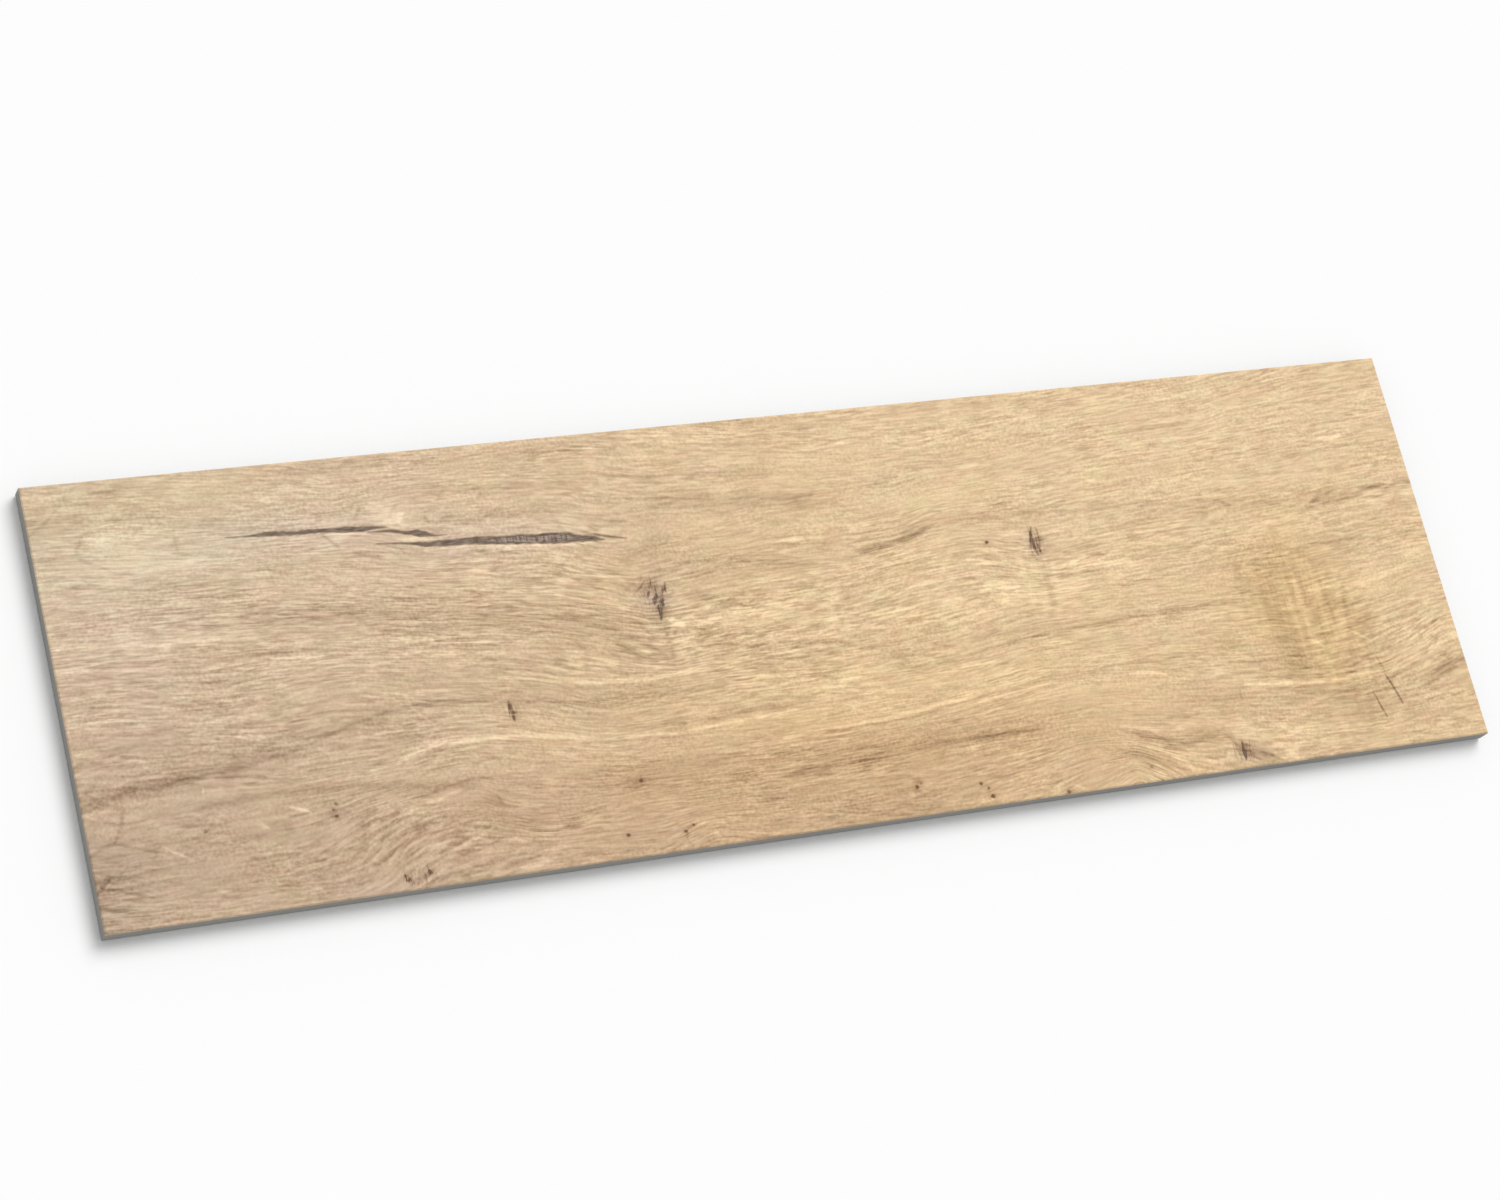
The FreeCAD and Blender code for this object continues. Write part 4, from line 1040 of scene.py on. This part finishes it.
def plank_mesh(plank, relief):
    """The whole plank as one closed mesh with its bake map, and the places of its vertices.

    The face, the edges, the plain border and the keyed back share the vertices where they meet.
    """
    half = np.array([plank.length, plank.width]) / 2
    face = face_points(plank, relief)
    face_number = np.arange(face[..., 0].size).reshape(face.shape[:2])
    face_rim = rim(face)
    walls = wall_points(plank, face_rim)
    wall_number = face_number.size + np.arange(walls[..., 0].size).reshape(walls.shape[:2])
    bed = bed_points(plank)
    bed_number = wall_number.max() + 1 + np.arange(bed[..., 0].size).reshape(bed.shape[:2])
    points = np.concatenate([face.reshape(-1, 3), walls.reshape(-1, 3), bed.reshape(-1, 3)])
    flat_share = (points[:, :2] / half + 1) / 2

    loop = np.vstack([wall_number, rim(face_number)])
    loop = np.column_stack([loop, loop[:, 0]])
    lattice = np.arange(loop.size).reshape(loop.shape)
    round_share = np.linspace(0, 1, loop.shape[1])
    profile_share = np.array([0, 0.15, 0.85, 1])
    wall_map = on_chart(WALL_CHART, *np.meshgrid(round_share, profile_share)).reshape(-1, 2)
    bevel_local = grid_quads(lattice[2:])
    wall_local = grid_quads(lattice[:3])

    sides = []
    outer, inner = loop[0], np.append(rim(bed_number), bed_number[0, 0])
    outer_at, inner_at = 0, 0
    for side in range(4):
        outer_count = (plank.columns, plank.rows)[side % 2]
        inner_count = (bed.shape[1] - 1, bed.shape[0] - 1)[side % 2]
        outer_part = outer[outer_at : outer_at + outer_count + 1]
        inner_part = inner[inner_at : inner_at + inner_count + 1]
        axis = side % 2
        outer_place = abs(points[outer_part, axis] - points[outer_part[0], axis])
        inner_place = abs(points[inner_part, axis] - points[inner_part[0], axis])
        sides.append(stitched(
            outer_part, inner_part, outer_place / outer_place[-1], inner_place / inner_place[-1]))
        outer_at += outer_count
        inner_at += inner_count
    border = np.concatenate(sides)

    face_quads = grid_quads(face_number)
    bed_quads = grid_quads(bed_number[:, ::-1])
    parts = (
        (face_quads, on_chart(FACE_CHART, *flat_share[face_quads].transpose(2, 0, 1)), 0),
        (loop.ravel()[bevel_local], wall_map[bevel_local], 0),
        (loop.ravel()[wall_local], wall_map[wall_local], 1),
        (border, on_chart(BED_CHART, *flat_share[border].transpose(2, 0, 1)), 1),
        (bed_quads, on_chart(BED_CHART, *flat_share[bed_quads].transpose(2, 0, 1)), 1),
    )
    mesh = bpy.data.meshes.new(NODE + "_glazed")
    corners = [corner for quads, _, _ in parts for corner in quads.tolist()]
    mesh.from_pydata((points * MM).tolist(), [], corners)
    bake_map = mesh.uv_layers.new(name="OFBake")
    bake_map.uv.foreach_set("vector", np.concatenate([uv.reshape(-1, 2) for _, uv, _ in parts]).ravel())
    slots = np.concatenate([np.full(len(quads), slot) for quads, _, slot in parts])
    mesh.polygons.foreach_set("material_index", slots)
    mesh.shade_smooth()
    mesh.set_sharp_from_angle(angle=SHARP_ANGLE)
    return mesh, points


def add_layer(mesh, name, values):
    """A number for each vertex of the mesh."""
    mesh.attributes.new(name, "FLOAT", "POINT").data.foreach_set("value", values.astype(np.float32))


def add_face_layers(mesh, points, flow):
    """The print's layers on the mesh: the grain's own map, its tone, its warmth, its zones and its marks."""
    x, y, _ = points.T
    corner = np.zeros(len(mesh.loops), np.int32)
    mesh.loops.foreach_get("vertex_index", corner)
    grain = np.column_stack([x, fibre_height(flow, x, y)])
    mesh.uv_layers.new(name="Grain").uv.foreach_set("vector", grain[corner].astype(np.float32).ravel())
    add_layer(mesh, "Tone", face_tone_and_shade(x, y))
    add_layer(mesh, "Warmth", face_warmth(x, y))
    for name, zones in ZONES.items():
        add_layer(mesh, name, zone_strength(zones, x, y))
    for number, sheet in enumerate(mark_sheets(x, y)):
        layer = mesh.attributes.new(f"Marks{number}", "FLOAT_VECTOR", "POINT")
        layer.data.foreach_set("vector", sheet.T.astype(np.float32).ravel())


# The pressed grain: by how many radians its fine and its broad wave turn in a millimetre across the fibres.
FINE_WAVE = 0.9
BROAD_WAVE = 0.37

# A mark sinks between these distances in from its edge, and more where it is wider, between these half widths.
SINK_EDGE = (-0.5, 0.7)
SINK_WIDTH = (0.4, 1.2)


def face_relief(shape, flow):
    """The depth pressed into the face: the grain's low waves, and the wide dark marks.

    The waves are a fine sine across the fibres times a broad one, and both sway along the plank. A mark's bed is
    level inside it, and rises in a smooth step at its edge.
    """

    def depth(x, y):
        fibre = fibre_height(flow, x, y)
        waves = np.sin(fibre * FINE_WAVE + 1.5 * np.sin(x / 70)) * np.sin(fibre * BROAD_WAVE + x / 90 + 1.3)
        opened = 0 * x
        for mark in MARKS:
            if mark.ink > PRESSED:
                across, half = mark_room(mark, x, y)
                room = soft_step(half - abs(across), *SINK_EDGE) * soft_step(half, *SINK_WIDTH)
                opened = np.maximum(opened, room)
        return (shape.grain_depth * (0.5 + 0.5 * waves) + shape.crack_depth * opened) / MM

    return depth


# How many spots a noise moves by for one step of its seed, and what stretches its spots to about 1 either way.
SEED_STEP = (7.31, 3.77)
NOISE_GAIN = 4

# The print's tints, by what each multiplies red, green and blue: the ends of its warmth and of its flush.
ROSE_GREY = (0.955, 1.004, 1.18, 1.0)
HONEY = (1.045, 1.0, 0.82, 1.0)
ROSE_FLUSH = (1.035, 0.975, 1.01, 1.0)
OLIVE_FLUSH = (0.965, 1.025, 0.99, 1.0)

# The palest fill of a crack, where it is wide.
CRACK_DUST = printed(168, 148, 135)


class Socket:
    """A value in a shader, which takes part in Python's own arithmetic.

    An expression on sockets and numbers adds the Math nodes that work it out.
    """

    def __init__(self, output):
        self.output = output

    def node(self, kind, settings=None, inputs=None, result=0):
        """One of a new node's outputs: its settings come first, then the value or link of each input."""
        tree = self.output.id_data
        made = tree.nodes.new(kind)
        for name, value in (settings or {}).items():
            if name == "stops":
                set_stops(made.color_ramp, value)
            else:
                setattr(made, name, value)
        for name, value in (inputs or {}).items():
            if isinstance(value, Socket):
                tree.links.new(value.output, made.inputs[name])
            else:
                made.inputs[name].default_value = value
        return Socket(made.outputs[result])

    def math(self, operation, *others):
        """A Math node of this value and others."""
        return self.node("ShaderNodeMath", {"operation": operation}, dict(enumerate((self, *others))))

    def __add__(self, other):
        return self.math("ADD", other)

    __radd__ = __add__

    def __sub__(self, other):
        return self.math("SUBTRACT", other)

    def __rsub__(self, other):
        return self.node("ShaderNodeMath", {"operation": "SUBTRACT"}, {0: other, 1: self})

    def __mul__(self, other):
        return self.math("MULTIPLY", other)

    __rmul__ = __mul__

    def __truediv__(self, other):
        return self.math("DIVIDE", other)

    def __abs__(self):
        return self.math("ABSOLUTE")

    def ramp(self, low, high):
        """0 below low and 1 above high, with a smooth step between."""
        return self.node(
            "ShaderNodeMapRange", {"interpolation_type": "SMOOTHSTEP"},
            {"Value": self, "From Min": low, "From Max": high})

    def times(self, x, y, z=1.0):
        """A vector, each part times a number."""
        return self.node("ShaderNodeVectorMath", {"operation": "MULTIPLY"}, {0: self, 1: (x, y, z)})

    def moved(self, other):
        """A vector plus another."""
        return self.node("ShaderNodeVectorMath", {"operation": "ADD"}, {0: self, 1: other})

    def noise(self, along, across, detail=0.0, seed=0.0, roughness=0.5):
        """Soft noise about 0 whose spots are this long and wide in millimetres of the map it is read on."""
        place = self.times(1 / along, 1 / across).moved((seed * SEED_STEP[0], seed * SEED_STEP[1], 0))
        spots = place.node(
            "ShaderNodeTexNoise", {"noise_dimensions": "2D"},
            {"Vector": place, "Scale": 1.0, "Detail": detail, "Roughness": roughness})
        return (spots - 0.5) * NOISE_GAIN

    def wander(self, along, across, drift, sway):
        """A soft random shift, in millimetres, whose turns are this long and wide."""
        place = self.times(1 / along, 1 / across)
        shift = place.node("ShaderNodeTexNoise", {"noise_dimensions": "2D"}, {"Vector": place, "Scale": 1.0}, 1)
        return shift.moved((-0.5, -0.5, 0)).times(NOISE_GAIN * drift, NOISE_GAIN * sway, 0)

    def tinted(self, tint):
        """This colour times another."""
        return self.node(
            "ShaderNodeMix", {"data_type": "RGBA", "blend_type": "MULTIPLY"},
            {"Factor": 1.0, "A": self, "B": tint}, 2)

    def between(self, first, second):
        """The colour that this value picks between two, from the first at 0 to the second at 1."""
        return self.node(
            "ShaderNodeMix", {"data_type": "RGBA", "clamp_factor": True},
            {"Factor": self, "A": first, "B": second}, 2)

    def coloured(self, *stops):
        """The colour that this value picks from a ramp of stops, each a place from 0 to 1 and a colour."""
        return self.node("ShaderNodeValToRGB", {"stops": stops}, {"Fac": self})


def set_stops(color_ramp, stops):
    """Gives a colour ramp its stops: each a place from 0 to 1 and a colour."""
    while len(color_ramp.elements) < len(stops):
        color_ramp.elements.new(1.0)
    for element, (place, colour) in zip(color_ramp.elements, stops, strict=True):
        element.position = place
        element.color = (*colour, 1.0)


def new_material(name):
    """An empty material, its surface shader and a first socket: the place on the object in metres."""
    material = bpy.data.materials.new(name)
    material.use_nodes = True
    surface = material.node_tree.nodes["Principled BSDF"]
    place = Socket(material.node_tree.nodes.new("ShaderNodeTexCoord").outputs["Object"])
    return material, surface, place


def feed(surface, **inputs):
    """Links sockets to, or sets numbers on, the surface shader's inputs, whose names have _ for a space."""
    for name, value in inputs.items():
        socket = surface.inputs[name.replace("_", " ")]
        if isinstance(value, Socket):
            surface.id_data.links.new(value.output, socket)
        else:
            socket.default_value = value


def printed_face(colours):
    """The matt glazed face: oak grain printed on the fired body, under a low pressed relief."""
    material, surface, place = new_material("printed_oak_glaze")
    here = place.times(1 / MM, 1 / MM, 0)
    grain = place.node("ShaderNodeUVMap", {"uv_map": "Grain"})
    layer = {
        name: place.node("ShaderNodeAttribute", {"attribute_name": name}, result=2)
        for name in ("Tone", "Warmth", *ZONES)
    }
    sway = grain.moved(grain.wander(30, 12, 2.0, 0.3)).moved(grain.wander(7, 2, 0.8, 0.08))
    rippled = grain.moved(grain.wander(7, 4, 1.5, 1.6))
    lively = layer["Lively"] + 1 + here.noise(34, 9, 1, 20) * 0.35

    # The grain: along the fibres from broad bands to fine grit, then the figure that crosses them
    bands = sway.noise(200, 9, 2, 1) * 0.085
    rings = sway.noise(80, 2.6, 1, 2) * 0.1
    streaks = sway.noise(28, 1.5, 1, 3) * 0.12
    fibres = sway.noise(11, 1.15, 0, 4).ramp(-0.7, 0.7) * 0.36 - 0.18
    grit = sway.noise(4.6, 0.95, 0, 5).ramp(-0.6, 0.6) * 0.26 - 0.13
    ripple = rippled.noise(9, 1.7, 1, 9) * 0.24 * layer["Ripple"]
    cross = here.noise(3, 26, 2, 10) * 0.24 * layer["Cross"]
    tilted = here.node("ShaderNodeVectorRotate", {"rotation_type": "Z_AXIS"}, {"Vector": here, "Angle": 0.6})
    mottle = tilted.noise(1.4, 1.4, 1, 6) * (here.noise(40, 16, 1, 21).ramp(-1, 1) * 0.18 + 0.09)
    clouds = here.noise(24, 10, 3, 8) * 0.075
    pores = sway.noise(9, 0.95, 0, 7).ramp(0.45, 1.0) * sway.noise(45, 6, 1, 17).ramp(-0.3, 0.7) * 0.3
    hairs = here.moved(here.wander(4, 9, 0.8, 0)).noise(0.8, 6, 1, 15) * layer["Knots"]
    grain_shade = (rings + streaks + fibres + grit - pores) * lively + ripple + cross + hairs * 0.3
    grain_shade = grain_shade - hairs.ramp(0.0, 0.8) * 0.8

    # The marks, with a pale lip on one side and a hollow where they are wide, and the dots with their halos
    ragged = here.noise(3.4, 1.2, 1, 11) * 0.2 + hairs * 0.6
    faded = here.noise(7, 1.2, 1, 16).ramp(-1.6, 0.4) * 0.5 + 0.5
    line_shade, dark_mark, lip, hollow = 0, 0, 0, 0
    for number in range(MARK_SHEETS):
        sheet = place.node("ShaderNodeAttribute", {"attribute_name": f"Marks{number}"}, result=1)
        across, half, ink = (sheet.node("ShaderNodeSeparateXYZ", inputs={0: sheet}, result=i) for i in range(3))
        inside = half - abs(across) + ragged * half.ramp(0.1, 0.8)
        mark = (inside / (1.2 - abs(ink) * 0.4)).ramp(-0.7, 0.9)
        line_shade = line_shade - mark * (ink * 1.15 + ink.ramp(0.6, 0.9) * 0.9)
        dark_mark = (mark * ink.ramp(FILLED, 1.0)).math("MAXIMUM", dark_mark)
        rim = (inside.ramp(-1.8, -0.8) - inside.ramp(-0.6, -0.1)) * half.ramp(0.7, 1.3) * (0.6 - across * 0.3)
        lip = (rim * ink.ramp(0.6, 0.8)).math("MAXIMUM", lip)
        hollow = (inside.ramp(0.4, 1.2) * half.ramp(1.2, 1.7)).math("MAXIMUM", hollow)

    for dot in DOTS:
        gap = here.node("ShaderNodeVectorMath", {"operation": "DISTANCE"}, {0: here, 1: (dot.x, dot.y, 0)}, 1)
        spot = (dot.radius - gap + ragged).ramp(-0.5, 0.5)
        halo = (gap / dot.radius).ramp(5, 1)
        line_shade = line_shade - (spot * 2.0 + halo * 0.3) * dot.ink

    # The wood's colour from its shade, its warmth and its flush, and the fill of cracks and knots over it
    shade = layer["Tone"] + bands + clouds + mottle + grain_shade + line_shade * faded + lip * 0.35
    wood = (shade * 0.25 + 0.5).coloured(
        (0.0, colours.shadow_brown), (0.25, colours.dark_oak), (0.5, colours.middle_oak),
        (0.75, colours.pale_oak), (1.0, colours.bleached_oak))
    warmth = layer["Warmth"] + here.noise(36, 18, 2, 13) * 0.12 + here.noise(9, 4, 1, 18) * 0.08
    tint = (warmth * 0.5 + 0.5).between(ROSE_GREY, HONEY)
    flush = (here.noise(14, 6, 2, 19) * 0.3 + layer["Olive"] + 0.4).between(ROSE_FLUSH, OLIVE_FLUSH)
    wood = wood.tinted(tint).tinted(flush)

    stripes = here.noise(0.9, 6, 1, 12)
    clefts = here.noise(4, 0.7, 1, 14)
    fill = (hollow * (stripes * 0.4 + 0.25) + clefts * 0.35 - hairs * 0.6 + 0.34).coloured(
        (0.0, colours.knot_dark), (0.45, colours.crack_fill), (1.0, CRACK_DUST))
    colour = dark_mark.between(wood, fill)

    height = grain_shade * 0.5 + mottle - dark_mark * 1.5
    bump = place.node("ShaderNodeBump", inputs={"Height": height, "Strength": 0.25, "Distance": 0.1 * MM})
    feed(surface, Base_Color=colour, Roughness=0.6 - grain_shade * 0.08, Normal=bump, IOR=1.3)
    return material


def bare_body(colours):
    """The bare fired body: fine speckled grey, with kiln wash rubbed on the ribs of the back."""
    material, surface, place = new_material("fired_porcelain_body")
    here = place.times(1 / MM, 1 / MM, 1 / MM)
    speckle = here.node("ShaderNodeTexNoise", inputs={"Vector": here, "Scale": 1.6, "Detail": 4.0})
    cloud = here.node("ShaderNodeTexNoise", inputs={"Vector": here, "Scale": 0.03, "Detail": 3.0})
    darker = tuple(0.75 * level for level in colours.fired_body)
    lighter = tuple(1.2 * level for level in colours.fired_body)
    shade = (speckle - 0.5) * 0.35 + (cloud - 0.5) * 0.3 + 0.5
    body = shade.coloured((0.0, darker), (0.5, colours.fired_body), (1.0, lighter))
    height = here.node("ShaderNodeSeparateXYZ", inputs={"Vector": here}, result=2)
    rubbed = (0.25 - height).ramp(0, 0.2) * (speckle * 0.7 + cloud * 0.9 - 0.2).ramp(0.2, 0.7)
    wash = (rubbed * 0.8).between(body, (*colours.kiln_wash, 1))
    bump = place.node("ShaderNodeBump", inputs={"Height": speckle, "Strength": 0.2, "Distance": 0.1 * MM})
    feed(surface, Base_Color=wash, Roughness=0.8, Normal=bump)
    return material


class MakePlank(bpy.types.Operator):
    """Builds the glazed plank over its CAD node, with its printed face and bare edges"""

    bl_idname = "plank_tile.make_plank"
    bl_label = "Make plank"

    def execute(self, context):
        shape, colours = context.scene.plank_shape, context.scene.plank_colours
        flow = even_fibres()
        mesh, points = plank_mesh(plank_sizes(shape), face_relief(shape, flow))
        add_face_layers(mesh, points, flow)
        mesh.materials.append(printed_face(colours))
        mesh.materials.append(bare_body(colours))
        plank = bpy.data.objects.new("glazed_plank", mesh)
        context.scene.collection.objects.link(plank)
        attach(plank, BODY)
        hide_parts(NODE)
        return {"FINISHED"}


class SetStage(bpy.types.Operator):
    """Lays the floor, sets the light and stands the camera where the picture was taken"""

    bl_idname = "plank_tile.set_stage"
    bl_label = "Set stage"

    def execute(self, context):
        studio = context.scene.plank_studio
        lay_floor(context.scene, studio, context.scene.plank_shape.bed_bevel)
        light_sky(context.scene, studio)
        hang_key_light(context.scene, studio)
        stand_camera(context.scene, studio)
        context.scene.view_settings.view_transform = "Standard"
        return {"FINISHED"}


def lay_floor(scene, studio, inset):
    """A wide level floor at the bedding plane, open where the plank lies so that its back shows from below."""
    low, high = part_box(NODE)
    left, near, right, far = low[0] + inset, low[1] + inset, high[0] - inset, high[1] - inset
    reach = 8.0
    outside = [(-reach, -reach, 0), (reach, -reach, 0), (reach, reach, 0), (-reach, reach, 0)]
    inside = [(left, near, 0), (right, near, 0), (right, far, 0), (left, far, 0)]
    mesh = bpy.data.meshes.new("floor")
    mesh.from_pydata(outside + inside, [], [(0, 1, 5, 4), (1, 2, 6, 5), (2, 3, 7, 6), (3, 0, 4, 7)])
    material, surface, _ = new_material("studio_floor")
    feed(surface, Base_Color=(*studio.floor, 1), Roughness=1.0, Specular_IOR_Level=0.0)
    mesh.materials.append(material)
    floor = bpy.data.objects.new("floor", mesh)
    scene.collection.objects.link(floor)


def light_sky(scene, studio):
    """An even sky that lights and is mirrored at its strength, and is white where the camera sees it."""
    world = bpy.data.worlds.new("studio_sky")
    world.use_nodes = True
    tree = world.node_tree
    path = tree.nodes.new("ShaderNodeLightPath")
    seen = Socket(path.outputs["Is Camera Ray"]).math("MAXIMUM", Socket(path.outputs["Is Transmission Ray"]))
    strength = seen * (1 - studio.sky) + studio.sky
    background = tree.nodes["Background"]
    background.inputs["Color"].default_value = (1, 1, 1, 1)
    tree.links.new(strength.output, background.inputs["Strength"])
    scene.world = world


def hang_key_light(scene, studio):
    """A broad key light, as strong as makes up its share of the light on a level face."""
    toward = Vector(studio.key_from).normalized()
    light = bpy.data.lights.new("key", "SUN")
    light.energy = studio.key * math.pi / toward.z
    light.angle = studio.key_softness
    key = bpy.data.objects.new("key", light)
    key.rotation_euler = toward.to_track_quat("Z", "Y").to_euler()
    scene.collection.objects.link(key)


def stand_camera(scene, studio):
    """The camera at its place, aimed at its point and rolled about its line of sight."""
    forward = (Vector(studio.camera_aim) - Vector(studio.camera_place)).normalized()
    level = forward.cross(Vector((0, 0, 1))).normalized()
    upright = level.cross(forward)
    right = level * math.cos(studio.camera_roll) + upright * math.sin(studio.camera_roll)
    up = right.cross(forward)
    turn = Matrix((right, up, -forward)).transposed()
    data = bpy.data.cameras.new("camera")
    data.lens = studio.lens
    camera = bpy.data.objects.new("camera", data)
    camera.matrix_world = Matrix.Translation(studio.camera_place) @ turn.to_4x4()
    scene.collection.objects.link(camera)
    scene.camera = camera


class PlankPanel(bpy.types.Panel):
    """The plank's sizes, colours and studio in the sidebar"""

    bl_idname = "VIEW3D_PT_plank_tile"
    bl_label = "Plank tile"
    bl_space_type = "VIEW_3D"
    bl_region_type = "UI"
    bl_category = "Plank tile"

    def draw(self, context):
        for settings in (context.scene.plank_shape, context.scene.plank_colours, context.scene.plank_studio):
            box = self.layout.box()
            for name in settings.bl_rna.properties.keys():
                if name not in ("rna_type", "name"):
                    box.prop(settings, name)
        for operator in OPERATORS:
            self.layout.operator(operator.bl_idname)


OPERATORS = (MakePlank, SetStage)
CLASSES = (PlankShape, PrintColours, StudioSettings, *OPERATORS, PlankPanel)
SETTINGS = {"plank_shape": PlankShape, "plank_colours": PrintColours, "plank_studio": StudioSettings}


def register():
    for item in CLASSES:
        bpy.utils.register_class(item)
    for name, group in SETTINGS.items():
        setattr(bpy.types.Scene, name, bpy.props.PointerProperty(type=group))


def unregister():
    for name in SETTINGS:
        delattr(bpy.types.Scene, name)
    for item in reversed(CLASSES):
        bpy.utils.unregister_class(item)


def main():
    register()
    bpy.ops.plank_tile.make_plank()
    bpy.ops.plank_tile.set_stage()


if __name__ == "__main__":
    main()
